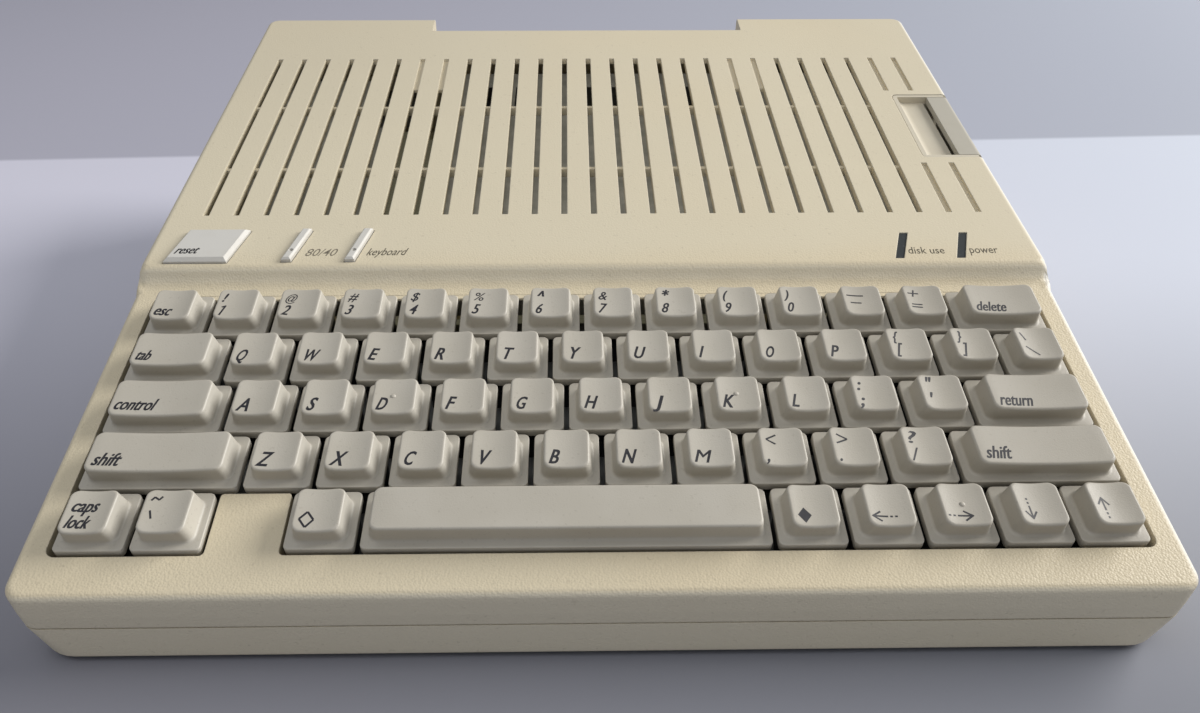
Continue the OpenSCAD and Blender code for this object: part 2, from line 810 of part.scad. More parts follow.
// Sealed converter can on its own board, which also carries the power socket
module voltage_converter() {
    color(steel) place() {
        span_box([-133, 184, board_z], [board_left - 4, panel_y - wall - 1, board_top]);
        soft_box([-132, 185, board_top], [board_left - 5, board_back - 6, board_top + 28], 2);
    }
}

module speaker() {
    color(dark) place() translate([speaker_x, speaker_y, wall]) {
        difference() {
            cylinder(r = speaker_r, h = 4);
            translate([0, 0, -bite]) cylinder(r = speaker_r - 4, h = 2.4 + bite);
        }
        translate([0, 0, 4]) cylinder(r = 9, h = 6);
    }
}

// Board with the headphone socket and the body of the volume control
module audio_board() {
    body_x = 6 - half_w + wall;
    color(board_green) place() difference() {
        union() {
            span_box([3 - inner_x, jack_y - 9, audio_z], [-110, wheel_y + 10, audio_top]);
            span_box([wheel_x - 3.6, wheel_y - 6, audio_top],
                [wheel_x + 6, wheel_y + 6, wheel_z - wheel_t / 2 - 0.4]);
            span_box([body_x, jack_y - 5, audio_top], [body_x + 14, jack_y + 5, jack_z + 4.5]);
            x_rod([0.6 - half_w, jack_y, jack_z], jack_r, body_x + half_w);
        }
        translate([wheel_x, wheel_y, audio_top + 1]) cylinder(r = 2.5 + run_fit, h = 10);
        x_rod([-half_w, jack_y, jack_z], 1.8, 15.6);
    }
}

module volume_wheel() {
    color(dark) place() translate([wheel_x, wheel_y, wheel_z]) {
        difference() {
            translate([0, 0, -wheel_t / 2]) cylinder(r = wheel_r, h = wheel_t);
            for (a = [0:15:345])
                rotate([0, 0, a]) translate([wheel_r, 0, -wheel_t])
                    cylinder(r = 0.5, h = 2 * wheel_t, $fn = 16);
        }
        translate([0, 0, audio_top + 1.2 - wheel_z])
            cylinder(r = 2.5, h = wheel_z - audio_top - 1.2);
    }
}

/* Small controls */

module reset_shape(low, high, grow = 0) {
    slant_box(reset_x, reset_v, reset_w, reset_l, low, high, grow);
}

module bar_shape(x, low, high, grow = 0) {
    slant_box(x, bar_v, bar_w, bar_l, low, high, grow);
}

module lamp_shape(x, low, high, grow = 0) {
    slant_box(x, lamp_v, lamp_w, lamp_l, low, high, grow, lamp_slant);
}

// Board with the three small switches that the buttons press
module switch_board() {
    low = hung_top - board_t;
    color(board_green) place() on_vent() {
        span_box([3 - inner_x, 1, low], [-69, 28, hung_top]);
        for (x = [reset_x + reset_w / 2 + 2.5, columns_x + 3, keyboard_x + 3])
            span_box([x - 3, 8, hung_top], [x + 3, 14, button_foot - button_travel - fit]);
    }
}

module reset_button() {
    top = 1.7;
    chamfer = 1.1;
    color(off_white) place() on_vent() {
        reset_shape(button_foot, top - chamfer);
        hull() {
            reset_shape(top - chamfer - 0.01, top - chamfer);
            reset_shape(top - 0.01, top, -chamfer);
        }
        slant_box(reset_x - 1, reset_v + 0.5, reset_w + 2, reset_l, button_foot, -wall - fit);
    }
}

// Push bar with a small dimple near its front
module push_bar(x) {
    top = 1.6;
    lean = 4.5 * tan(slant);
    color(off_white) place() on_vent() difference() {
        union() {
            bar_shape(x, button_foot, top - 0.6);
            hull() {
                bar_shape(x, top - 0.61, top - 0.6);
                bar_shape(x, top - 0.01, top, -0.6);
            }
            slant_box(x - 1, bar_v + 0.5, bar_w + 2, bar_l, button_foot, -wall - fit);
        }
        translate([x + bar_w / 2 + lean, bar_v + 4.5, top + 0.3])
            sphere(0.8, $fn = 16);
    }
}

module columns_switch() { push_bar(columns_x); }
module keyboard_switch() { push_bar(keyboard_x); }

// Board with the two indicator lamps
module lamp_board() {
    low = hung_top - board_t;
    color(board_green) place() on_vent() {
        span_box([86, 1, low], [132, 17, hung_top]);
        for (x = lamp_x)
            translate([x + 3.7, lamp_v + lamp_l / 2, hung_top]) cylinder(r = 1.3, h = 5, $fn = 24);
    }
}

module lamp_windows() {
    color([0.16, 0.18, 0.2]) place() on_vent() for (x = lamp_x) {
        lamp_shape(x, -3.1, -0.3);
    }
}

/* Disk drive */

module drive_frame() {
    back = disk_y + drive_half;
    front = disk_y - drive_half;
    ledge = disk_slot_h / 2 - 0.9;
    color(steel) place() {
        span_box([drive_left, front, drive_z], [drive_right, back, drive_z + 2]);
        for (y = [front, back - 2])
            span_box([drive_left, y, drive_z], [drive_right, y + 2, drive_top]);
        span_box([drive_left, front, drive_z], [drive_left + 2, back, drive_top - 6]);
        // ledges that the edges of a disk slide between
        for (y = [front, back - 6])
            for (z = [disk_h - ledge - 1.5, disk_h + ledge])
                span_box([spindle_x - 66, y, z], [drive_right, y + 6, z + 1.5]);
        // blocks that hold the carriage's rails
        for (x = [drive_left + 1, spindle_x - 57])
            for (y = [disk_y - 15, disk_y + 9])
                difference() {
                    span_box([x, y, drive_z], [x + 3, y + 6, drive_z + 8.5]);
                    x_rod([x - bite, y + 3, drive_z + 6], 2 + seat, 3 + 2 * bite);
                }
    }
}

// Cover over the drive, with ears for the clamp's hinge
module drive_cover() {
    x = latch_x - 3;
    color([0.42, 0.42, 0.4]) place() difference() {
        union() {
            span_box([drive_left, disk_y - drive_half, drive_top],
                [x, disk_y + drive_half, drive_top + 0.8]);
            for (y = [disk_y - 13.5, disk_y + 10])
                span_box([clamp_x - 4, y, clamp_z - 2.6], [clamp_x + 4, y + 3.5, drive_top + 0.4]);
        }
        y_rod([clamp_x, disk_y - 20, clamp_z], 1.5 + run_fit, 40);
        for (i = [0:6])
            span_box([drive_left + 16 + i * 14, disk_y + 30, drive_top - bite],
                [drive_left + 22 + i * 14, disk_y + 60, drive_top + 2]);
    }
}

module drive_motor() {
    color(dark) place() translate([spindle_x, disk_y, drive_z + 2]) difference() {
        union() {
            cylinder(r = 28, h = 5);
            cylinder(r = 7, h = 6.2);
        }
        translate([0, 0, 1]) cylinder(r = 3 + run_fit, h = 8);
    }
}

module drive_spindle() {
    hub_z = drive_z + 8.4;
    top = disk_h - 1.2;
    color(steel) place() translate([spindle_x, disk_y, 0]) {
        translate([0, 0, drive_z + 3.2]) cylinder(r = 3, h = hub_z - drive_z - 3.2);
        translate([0, 0, hub_z]) cylinder(r = 16, h = top - hub_z);
        translate([0, 0, top]) cylinder(r1 = 13.5, r2 = 12.5, h = 0.9);
    }
}

// Arm that presses the disk onto the spindle when the latch closes
module clamp_arm() {
    color(steel) place() {
        difference() {
            union() {
                span_box([spindle_x - 8, disk_y - 9, clamp_z - 1],
                    [clamp_x, disk_y + 9, clamp_z + 1]);
                y_rod([clamp_x, disk_y - 9, clamp_z], 2.4, 18);
            }
            for (y = [-5, 5])
                span_box([spindle_x + 16, disk_y + y - 2, clamp_z - 2],
                    [clamp_x - 8, disk_y + y + 2, clamp_z + 2]);
        }
        y_rod([clamp_x, disk_y - 13.2, clamp_z], 1.5, 26.4);
        translate([spindle_x, disk_y, disk_h + 1.4]) cylinder(r = 13, h = clamp_z - disk_h - 2.4);
    }
}

// Sled with the two head arms, at the outermost track
module head_carriage() {
    rear = spindle_x - 112;
    head = spindle_x - 52;
    color([0.75, 0.73, 0.66]) place() difference() {
        union() {
            span_box([rear, disk_y - 16, drive_z + 3], [rear + 30, disk_y + 16, drive_z + 9]);
            span_box([rear, disk_y - 5.5, drive_z + 3], [rear + 8, disk_y + 5.5, disk_h + 5.6]);
            span_box([rear, disk_y - 5.5, drive_z + 5], [head, disk_y + 5.5, drive_z + 9]);
            span_box([rear, disk_y - 5.5, disk_h + 3], [head, disk_y + 5.5, disk_h + 5.6]);
            for (z = [drive_z + 8.9, disk_h + 1.4])
                translate([head - 5, disk_y, z]) cylinder(r = 3, h = 2.2);
        }
        for (y = [disk_y - 12, disk_y + 12])
            x_rod([rear - bite, y, drive_z + 6], 2 + run_fit, 30 + 2 * bite);
    }
}

module carriage_rails() {
    color(steel) place() for (y = [disk_y - 12, disk_y + 12])
        x_rod([drive_left + 1.5 + 0.6, y, drive_z + 6], 2, spindle_x - 54.6 - drive_left - 2.1);
}

module head_stepper() {
    color(dark) place() translate([drive_left + 26, disk_y + 46, drive_z + 2]) {
        cylinder(r = 19, h = 18);
        cylinder(r = 5, h = 21.5);
    }
}

// Moulded tray let into the top beside the latch, scooped out for a fingertip
module latch_bezel() {
    lid = 0.2;
    gap = 0.3;
    end_t = 1.5;
    deep = 3;
    scoop_r = 4;
    scoop_x = latch_x + 1.8 + scoop_r;
    front = latch_front + gap;
    back = latch_back - gap;
    from_v = (front + end_t - step_y) / cos(vent_angle);
    to_v = (back - end_t - step_y) / cos(vent_angle);
    color([0.8, 0.77, 0.7]) place() difference() {
        union() {
            intersection() {
                soft_box([latch_x + gap, front, bezel_z], [half_w + 6, back, rear_h + 20], 2);
                side_prism([[front, bezel_z], [back, bezel_z], [back, vent_z(back) - lid],
                    [front, vent_z(front) - lid]], 2 * half_w - 2 * edge_r);
            }
            for (y = [latch_front - 3, latch_back - end_t - gap])
                span_box([latch_pin_x - 4, y, latch_pin_z - 3.5],
                    [latch_pin_x + 4, y + 3 + end_t + gap, bezel_z + 2]);
        }
        on_vent() {
            y_rod([scoop_x, from_v, scoop_r - deep], scoop_r, to_v - from_v);
            span_box([scoop_x, from_v, -deep], [half_w, to_v, 6]);
        }
        // room for the lever
        span_box([latch_in_x - 0.8, front + end_t, bezel_z - bite],
            [half_w, back - end_t, rear_h + 20]);
        y_rod([latch_pin_x, latch_front - 5, latch_pin_z], latch_pin_r + seat,
            latch_back - latch_front + 10);
    }
}

// Latch: a flat top flush with the deck, a skirt in front of the slot and an
// ear at each end that turns on its pin
module latch_lever() {
    t = 2.4;
    r = edge_r;
    in_x = latch_in_x;
    out_x = half_w - 0.1;
    drop = latch_foot + 1.7 - vent_z(disk_y);
    outer = [for (a = [90:-15:0]) [out_x - r + r * cos(a), r * sin(a) - r - 0.2]];
    ear = [[latch_pin_x, latch_pin_z - 3.4], [out_x - t / 2, latch_pin_z - 9],
        [out_x - t / 2, latch_pin_z + 1], [latch_pin_x + 4.5, latch_pin_z + 1],
        [latch_pin_x, latch_pin_z + 3.4]];
    front = latch_front + 2.1;
    back = latch_back - 2.1;
    color([0.79, 0.77, 0.71]) place() difference() {
        union() {
            intersection() {
                translate([0, disk_y, vent_z(disk_y)]) rotate([90 + vent_angle, 0, 0])
                    linear_extrude(latch_w + 10, center = true)
                        polygon(concat([[in_x, -0.2]], outer, [[out_x, drop], [out_x - t, drop],
                            [out_x - t, -0.2 - t], [in_x, -0.2 - t]]));
                span_box([in_x, front, 0], [half_w, back, rear_h]);
            }
            for (y = [front + 3, back])
                translate([0, y, 0]) rotate([90, 0, 0]) linear_extrude(3) {
                    polygon(ear);
                    translate([latch_pin_x, latch_pin_z]) circle(3.5);
                }
        }
        y_rod([latch_pin_x, front - bite, latch_pin_z], latch_pin_r + run_fit,
            back - front + 2 * bite);
    }
}

/* Rear ports */

module rear_ports() {
    color([0.5, 0.5, 0.5]) place() {
        for (port = wide_ports) {
            face = port_face(port[0]);
            difference() {
                union() {
                    span_box([port[0] - port[1], face - port_d, board_top],
                        [port[0] + port[1], face - wall - bite, port_z + port_half_h]);
                    span_box([port[0] - port[1], face - port_d, port_z - port_half_h],
                        [port[0] + port[1], face - 0.4, port_z + port_half_h]);
                }
                for (side = [-1, 1])
                    y_rod([port[0] + side * (port[1] - 3.4), face - 8, port_z], 1.5, 8 + bite);
            }
            translate([port[0], face - 1, port_z]) rotate([-90, 0, 0])
                linear_extrude(1.6) wide_shell(port[1] - 6.6);
        }
        for (port = round_ports) {
            face = port_face(port[0]);
            span_box([port[0] - port[1], face - port_d, board_top],
                [port[0] + port[1], face - wall - bite, port_z + port[1]]);
            y_rod([port[0], face - 6, port_z], port[1], port[1] > 5 ? 5.8 : 6.4);
        }
        // sleeve of the picture socket
        difference() {
            y_rod([round_ports[1][0], notch_y, port_z], 4.15, 8.5);
            y_rod([round_ports[1][0], notch_y + 1, port_z], 1.6, 8);
        }
    }
}

// Outline of a multi-pin connector: wider above than below
module wide_shell(half) {
    polygon([[-half, -3.9], [half, -3.9], [half - 1.4, 3.9], [1.4 - half, 3.9]]);
}

module power_switch() {
    color(dark) place() difference() {
        span_box([switch_x - switch_half_w, panel_y - 14, switch_z - switch_half_h],
            [switch_x + switch_half_w, panel_y + 0.4, switch_z + switch_half_h]);
        span_box([switch_x - 5.2, panel_y - 8, switch_z - 8.6],
            [switch_x + 5.2, panel_y + bite, switch_z + 8.6]);
        x_rod([switch_x - 6, panel_y - 3, switch_z], 1 + run_fit, 12);
    }
}

module power_rocker() {
    swing = 8;
    color([0.2, 0.2, 0.2]) place() translate([switch_x, panel_y - 3, switch_z])
        rotate([-swing, 0, 0]) {
            side_prism([[-1.8, -7.4], [2.2, -7.8], [3.6, 0], [2.2, 7.8], [-1.8, 7.4]], 9.8);
            x_rod([-5.9, 0, 0], 1, 11.8);
        }
}

upper_case();
lower_case();
case_screws();
rubber_feet();
handle();
pivot_pins();
key_plate();
key_switches();
keyboard_board();
main_board();
board_chips();
ribbon_cables();
voltage_converter();
speaker();
audio_board();
volume_wheel();
switch_board();
reset_button();
columns_switch();
keyboard_switch();
lamp_board();
lamp_windows();
drive_frame();
drive_cover();
drive_motor();
drive_spindle();
clamp_arm();
head_carriage();
carriage_rails();
head_stepper();
latch_bezel();
latch_lever();
rear_ports();
power_switch();
power_rocker();
key_escape();
keys_numbers_left();
keys_numbers_right();
key_delete();
key_tab();
keys_upper_left();
keys_upper_right();
key_backslash();
key_control();
keys_home_left();
keys_home_right();
key_return();
key_left_shift();
keys_lower_left();
keys_lower_right();
key_right_shift();
key_caps_lock();
key_accent();
key_open_symbol();
space_bar();
key_solid_symbol();
key_arrow_left();
key_arrow_right();
key_arrow_down();
key_arrow_up();
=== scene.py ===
import json
import math

import bmesh
import bpy
from mathutils import Matrix, Vector


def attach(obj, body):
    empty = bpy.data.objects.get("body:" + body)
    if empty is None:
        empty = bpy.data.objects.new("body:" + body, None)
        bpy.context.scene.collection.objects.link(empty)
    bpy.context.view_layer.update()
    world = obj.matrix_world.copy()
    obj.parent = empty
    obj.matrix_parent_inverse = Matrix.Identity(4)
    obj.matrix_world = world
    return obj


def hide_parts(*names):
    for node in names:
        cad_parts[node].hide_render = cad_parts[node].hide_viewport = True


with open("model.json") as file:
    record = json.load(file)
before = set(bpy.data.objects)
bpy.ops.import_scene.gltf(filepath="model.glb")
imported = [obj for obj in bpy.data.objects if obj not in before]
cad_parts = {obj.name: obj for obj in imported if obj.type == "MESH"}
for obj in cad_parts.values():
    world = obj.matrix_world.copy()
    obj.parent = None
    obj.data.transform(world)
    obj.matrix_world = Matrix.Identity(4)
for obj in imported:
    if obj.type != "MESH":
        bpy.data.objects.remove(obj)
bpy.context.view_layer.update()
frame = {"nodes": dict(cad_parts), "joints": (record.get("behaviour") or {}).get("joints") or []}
print("frame loaded:", len(frame["nodes"]), "nodes")

# the case's own axes
# x right, y back from the front face, z up from the underside, all in mm
caseDims = {
    "tilt": 7.1,            # rear up, because it stands on its handle
    "deckAngle": 7.3,
    "deckFront": 24.6,      # height of the keyboard deck at the front edge
    "stepHeight": 5.0,
    "depth": 304.8,
    "rearHeight": 56.4,
    "width": 292.1,
    "hinge": (298.15, 9.0), # of the handle, back and up
}
keyPitch = 19.05
keyRowCount = 5
keyUnits = 14.5             # width of a row, in key widths
keyFront = 12.8             # front row's flanges, back along the deck
keyRise = 1.0               # the flanges stand a little above the deck
flange = 17.6
stepGap = 8                 # from the rear row's flanges to the step

deckAngle = math.radians(caseDims["deckAngle"])
stepY = (keyFront + (keyRowCount - 1) * keyPitch + flange + stepGap) * math.cos(deckAngle)
ventFront = caseDims["deckFront"] + stepY * math.tan(deckAngle) + caseDims["stepHeight"]
ventAngle = math.atan((caseDims["rearHeight"] - ventFront) / (caseDims["depth"] - stepY))


def turnX(angle):
    return Matrix.Rotation(angle, 4, "X")


def findCase():
    # the handle's hinge is a known point of the case and of the frame
    joint = next(j for j in frame["joints"] if j["name"] == "handle_fold")
    turned = turnX(math.radians(caseDims["tilt"])) @ Matrix.Scale(0.001, 4)
    hinge = turned @ Vector((0, *caseDims["hinge"]))
    return Matrix.Translation(Vector(joint["pos_m"]) - hinge) @ turned


onCase = findCase()
onDeck = onCase @ Matrix.Translation((0, 0, caseDims["deckFront"])) @ turnX(deckAngle)
onKeys = onDeck @ Matrix.Translation((0, 0, keyRise))
onVent = onCase @ Matrix.Translation((0, stepY, ventFront)) @ turnX(ventAngle)


# shader sums
class Wire:
    # an output socket that can stand in a sum
    def __init__(self, finish, socket):
        self.finish, self.socket = finish, socket

    def calc(self, operation, *terms):
        return self.finish.node("ShaderNodeMath", {"operation": operation}, list(terms))

    def __add__(self, other):
        return self.calc("ADD", self, other)

    def __radd__(self, other):
        return self.calc("ADD", other, self)

    def __sub__(self, other):
        return self.calc("SUBTRACT", self, other)

    def __rsub__(self, other):
        return self.calc("SUBTRACT", other, self)

    def __mul__(self, other):
        return self.calc("MULTIPLY", self, other)

    def __rmul__(self, other):
        return self.calc("MULTIPLY", other, self)


class Finish:
    # one material, put together from named nodes
    def __init__(self, name, **fixed):
        self.material = bpy.data.materials.new(name)
        self.material.use_nodes = True
        self.tree = self.material.node_tree
        self.tree.nodes.clear()
        self.shader = self.tree.nodes.new("ShaderNodeBsdfPrincipled")
        output = self.tree.nodes.new("ShaderNodeOutputMaterial")
        self.tree.links.new(self.shader.outputs[0], output.inputs[0])
        self.rounded = {}       # one bevel node for each radius
        self.feed(**fixed)

    def put(self, socket, value):
        if isinstance(value, Wire):
            self.tree.links.new(value.socket, socket)
        elif isinstance(value, tuple) and socket.type == "RGBA":
            socket.default_value = (*value[:3], 1)
        else:
            socket.default_value = value

    def node(self, kind, settings=None, sockets=None, out=0):
        # sockets are values or wires, by name or in order
        made = self.tree.nodes.new(kind)
        for name, value in (settings or {}).items():
            setattr(made, name, value)
        pairs = sockets.items() if isinstance(sockets, dict) else enumerate(sockets or [])
        for name, value in pairs:
            self.put(made.inputs[name], value)
        return Wire(self, made.outputs[out])

    def feed(self, **values):
        for name, value in values.items():
            self.put(self.shader.inputs[shaderSockets[name]], value)

    def place(self):
        return self.node("ShaderNodeTexCoord", out="Object")

    def noise(self, scale, detail=3.0, rough=0.55, stretch=None):
        where = self.place()
        if stretch:
            where = self.node("ShaderNodeVectorMath", {"operation": "MULTIPLY"}, [where, stretch])
        return self.node("ShaderNodeTexNoise", {},
                         {"Vector": where, "Scale": scale, "Detail": detail, "Roughness": rough})

    def cells(self, scale):
        # rounded pebbles, 0 at their middles
        return self.node("ShaderNodeTexVoronoi", {"feature": "F1"},
                         {"Vector": self.place(), "Scale": scale, "Randomness": 0.9})

    def ramp(self, wire, low, high):
        # 0 below low, 1 above high
        return self.node("ShaderNodeMapRange", {"interpolation_type": "SMOOTHSTEP"},
                         {"Value": wire, "From Min": low, "From Max": high})

    def blend(self, factor, first, second):
        # the colour inputs of a mix are its sockets 6 and 7
        return self.node("ShaderNodeMix", {"data_type": "RGBA"}, {0: factor, 6: first, 7: second}, out=2)

    def along(self, axis):
        return self.node("ShaderNodeSeparateXYZ", {}, [self.place()], out=axis)

    def facing(self, axis):
        normal = self.node("ShaderNodeNewGeometry", out="Normal")
        return self.node("ShaderNodeSeparateXYZ", {}, [normal], out=axis)

    def softEdge(self, radius):
        if radius not in self.rounded:
            self.rounded[radius] = self.node("ShaderNodeBevel", {"samples": 4}, {"Radius": radius})
        return self.rounded[radius]

    def edges(self, radius):
        # 1 on outer edges, 0 on flats
        straight = self.node("ShaderNodeNewGeometry", out="Normal")
        rounded = self.softEdge(radius)
        same = self.node("ShaderNodeVectorMath", {"operation": "DOT_PRODUCT"},
                         [straight, rounded], out="Value")
        return self.ramp(1 - same, 0.02, 0.3)

    def near(self, spot, radius):
        # 1 at a point of the case, 0 from the radius on
        gap = self.node("ShaderNodeVectorMath", {"operation": "DISTANCE"},
                        [self.place(), tuple(spot)], out="Value")
        return 1 - self.ramp(gap, radius * 0.6, radius)

    def bump(self, height, distance, strength, normal=None):
        sockets = {"Height": height, "Distance": distance, "Strength": strength}
        if normal:
            sockets["Normal"] = normal
        return self.node("ShaderNodeBump", {}, sockets)


shaderSockets = {
    "colour": "Base Color", "roughness": "Roughness", "metallic": "Metallic", "normal": "Normal",
    "specular": "Specular IOR Level", "glow": "Emission Color", "glowStrength": "Emission Strength",
}


# finishes
shellLook = {
    "cream": (0.655, 0.585, 0.435),
    "aged": (0.64, 0.55, 0.385),      # where hands and light have yellowed it
    "agedFront": 0.55,
    "agedPatches": 0.4,
    # painted light: the pale colour of lit edges and of faces that look forward
    "edge": (0.75, 0.7, 0.58),
    "edgeRound": 0.0005,
    "edgeHighlight": 0.5,
    "frontLight": 0.55,                # painted light: faces that look forward are made paler, in the edge colour
    # the colour of real specks of dirt, and of the painted shade at the rear left and the right
    "dirtAndShade": (0.33, 0.28, 0.2),
    "specks": 0.2,
    "grain": 1600,                    # per metre
    "grainDepth": 0.00013,
    "coarseGrain": 1552,              # of the front deck
    "coarseDepth": 0.00017,
    "coarseUpTo": (-0.045, -0.025),   # y where it starts to give way, and has
    "rearX": (-0.13, 0.02),           # painted shade: the rear left is a little darker
    "rearY": (0.0, 0.11),
    "rearShade": 0.14,
    "rightX": (0.07, 0.13),           # painted shade on the right too
    "rightShade": 0.07,
    "rim": (0.86, 0.84, 0.78),        # painted highlight along the right side's top edge
    "rimX": (0.1437, 0.1457),
    "rimPale": 0.8,
    "rough": 0.46,
    "smudged": 0.12,                  # what smudges add to that
}


def shellFinish(name, aged=0.0):
    f = Finish(name)
    look = shellLook
    frontness = 1 - f.ramp(f.along("Y"), *look["coarseUpTo"])
    patches = f.ramp(f.noise(9, 2), 0.35, 0.7)
    old = f.ramp(frontness * look["agedFront"] + patches * look["agedPatches"] + aged, 0, 1)
    colour = f.blend(old, look["cream"], look["aged"])
    # painted shade: the rear left and the right are darkened
    rear = f.ramp(f.along("Y"), *look["rearY"]) * (1 - f.ramp(f.along("X"), *look["rearX"]))
    right = f.ramp(f.along("X"), *look["rightX"])
    colour = f.blend(rear * look["rearShade"] + right * look["rightShade"], colour, look["dirtAndShade"])
    # painted light: faces that look forward are paler
    forward = f.ramp(0 - f.facing("Y"), 0.6, 0.95)
    colour = f.blend(forward * look["frontLight"], colour, look["edge"])
    # painted highlight on the edges
    colour = f.blend(f.edges(look["edgeRound"]) * look["edgeHighlight"], colour, look["edge"])
    # painted highlight along the right side's top edge
    rim = f.ramp(f.along("X"), *look["rimX"]) * f.ramp(f.facing("Z"), 0.15, 0.5)
    colour = f.blend(rim * look["rimPale"], colour, look["rim"])
    specks = f.ramp(f.noise(700, 1), 0.68, 0.76) * look["specks"]
    colour = f.blend(specks, colour, look["dirtAndShade"])
    smudge = f.ramp(f.noise(38, 3), 0.45, 0.8)
    fine = f.noise(look["grain"], 2, 0.6)
    coarse = 1 - f.cells(look["coarseGrain"])
    height = fine * (1 - frontness) * look["grainDepth"] + coarse * frontness * look["coarseDepth"]
    normal = f.bump(height, 1.0, 0.6, f.softEdge(look["edgeRound"]))
    f.feed(colour=colour, roughness=look["rough"] + smudge * look["smudged"], normal=normal,
           specular=0.4)
    return f.material


keyLook = {
    "grey": (0.45, 0.417, 0.352),
    "worn": (0.495, 0.463, 0.4),
    # the colour of real specks, and of the painted shade on the right-hand keys
    "grime": (0.27, 0.24, 0.19),
    "rightKeysShadeX": (0.03, 0.12),         # painted shade: the right-hand keys are darker
    "rightKeysShade": 0.3,
    "highlight": (0.68, 0.65, 0.58),       # painted highlight on the right-hand flanks, which face the window
    "flankHighlight": 0.55,
    "specks": 0.25,
    "grain": 2400,
    "grainDepth": 0.0001,
}


def keyFinish():
    f = Finish("keyGrey")
    look = keyLook
    patches = f.ramp(f.noise(60, 2), 0.35, 0.75)
    colour = f.blend(patches * 0.5, look["grey"], look["worn"])
    # painted shade: the right-hand keys are darker
    rightKeysShade = f.ramp(f.along("X"), *look["rightKeysShadeX"])
    colour = f.blend(rightKeysShade * look["rightKeysShade"], colour, look["grime"])
    # painted highlight on the flanks that face right
    flank = f.ramp(f.facing("X"), 0.3, 0.75)
    colour = f.blend(flank * look["flankHighlight"], colour, look["highlight"])
    specks = f.ramp(f.noise(1100, 1), 0.66, 0.76) * look["specks"]
    colour = f.blend(specks, colour, look["grime"])
    height = f.noise(look["grain"], 2, 0.6)
    f.feed(colour=colour, roughness=0.42 + patches * 0.1, specular=0.45,
           normal=f.bump(height, look["grainDepth"], 0.5))
    return f.material


plasticLook = {
    # of all the plain plastics
    "grain": 2200,
    "grainDepth": 0.00003,
    "edgeRound": 0.0003,
}


def plainPlastic(name, colour, mark, rough):
    f = Finish(name)
    look = plasticLook
    patches = f.ramp(f.noise(80, 2), 0.4, 0.75)
    shade = f.blend(patches * 0.4, colour, mark)
    # painted highlight: a paler colour on the edges
    highlight = tuple(min(1, c * 1.25 + 0.02) for c in colour)
    shade = f.blend(f.edges(look["edgeRound"]) * 0.5, shade, highlight)
    normal = f.bump(f.noise(look["grain"], 2), look["grainDepth"], 0.5, f.softEdge(look["edgeRound"]))
    f.feed(colour=shade, roughness=rough + patches * 0.1, normal=normal)
    return f.material


def metal(name, colour, rough):
    f = Finish(name, metallic=1.0)
    lines = f.noise(160, 3, 0.6, (1, 40, 1))
    stains = f.ramp(f.noise(45, 4), 0.5, 0.8)
    shade = f.blend(stains * 0.5, colour, tuple(c * 0.55 for c in colour))
    f.feed(colour=shade, roughness=rough + lines * 0.12 + stains * 0.15,
           normal=f.bump(lines, 0.00002, 0.35, f.softEdge(0.0002)))
    return f.material


coverLook = {
    # dull zinc with the marks of handling
    "zinc": (0.29, 0.28, 0.235),
    "spangle": (0.4, 0.385, 0.325),
    "scratch": (0.5, 0.49, 0.45),
    "glow": 0.2,                      # stands for the light that the slots let in
}


def coverFinish():
    f = Finish("zincSheet")
    look = coverLook
    spangle = f.ramp(f.noise(120, 3), 0.35, 0.7)
    scratches = f.ramp(f.noise(300, 2, 0.6, (1, 30, 1)), 0.6, 0.75)
    colour = f.blend(spangle, look["zinc"], look["spangle"])
    colour = f.blend(scratches * 0.4, colour, look["scratch"])
    f.feed(colour=colour, glow=colour, glowStrength=look["glow"], metallic=spangle * 0.2,
           roughness=0.5 + spangle * 0.15,
           normal=f.bump(scratches, 0.00002, 0.4, f.softEdge(0.0002)))
    return f.material


buttonLook = {
    "white": (0.62, 0.6, 0.555),
    "mark": (0.53, 0.5, 0.44),
    "dimples": [(-98.35, 7.9), (-78.05, 7.9)],    # on the two bars, mm across and up the vent deck
    "dimple": 0.0008,
    "dimpleDepth": 0.0004,
    "dimpleShade": (0.2, 0.18, 0.15),
    "grainDepth": 0.00003,
}
buttonTop = 1.7             # mm above the vent deck
barTop = 1.6


def buttonFinish():
    f = Finish("whiteButton")
    look = buttonLook
    patches = f.ramp(f.noise(80, 2), 0.4, 0.75)
    pits = [f.near(onVent @ Vector((x, v, barTop)), look["dimple"]) for x, v in look["dimples"]]
    pit = pits[0] + pits[1]
    colour = f.blend(patches * 0.4, look["white"], look["mark"])
    # painted shade in the two dimples
    colour = f.blend(pit * 0.65, colour, look["dimpleShade"])
    height = f.noise(2200, 2) * look["grainDepth"] - pit * look["dimpleDepth"]
    f.feed(colour=colour, roughness=0.42 + patches * 0.1,
           normal=f.bump(height, 1.0, 0.6, f.softEdge(0.0003)))
    return f.material


boardLook = {
    "mask": (0.17, 0.16, 0.105),
    "track": (0.24, 0.225, 0.15),
    # painted light: the boards glow, for the light that the slots let in
    "glow": 0.3,
}


def boardFinish():
    f = Finish("solderMask")
    look = boardLook
    tracks = f.node("ShaderNodeTexBrick", {"offset": 0.5},
                    {"Vector": f.place(), "Scale": 160.0, "Mortar Size": 0.08}, out="Fac")
    colour = f.blend(tracks * 0.5, look["mask"], look["track"])
    f.feed(colour=colour, glow=colour, glowStrength=look["glow"],
           roughness=0.3 + f.noise(300) * 0.2, normal=f.bump(tracks, 0.00003, 0.4))
    return f.material


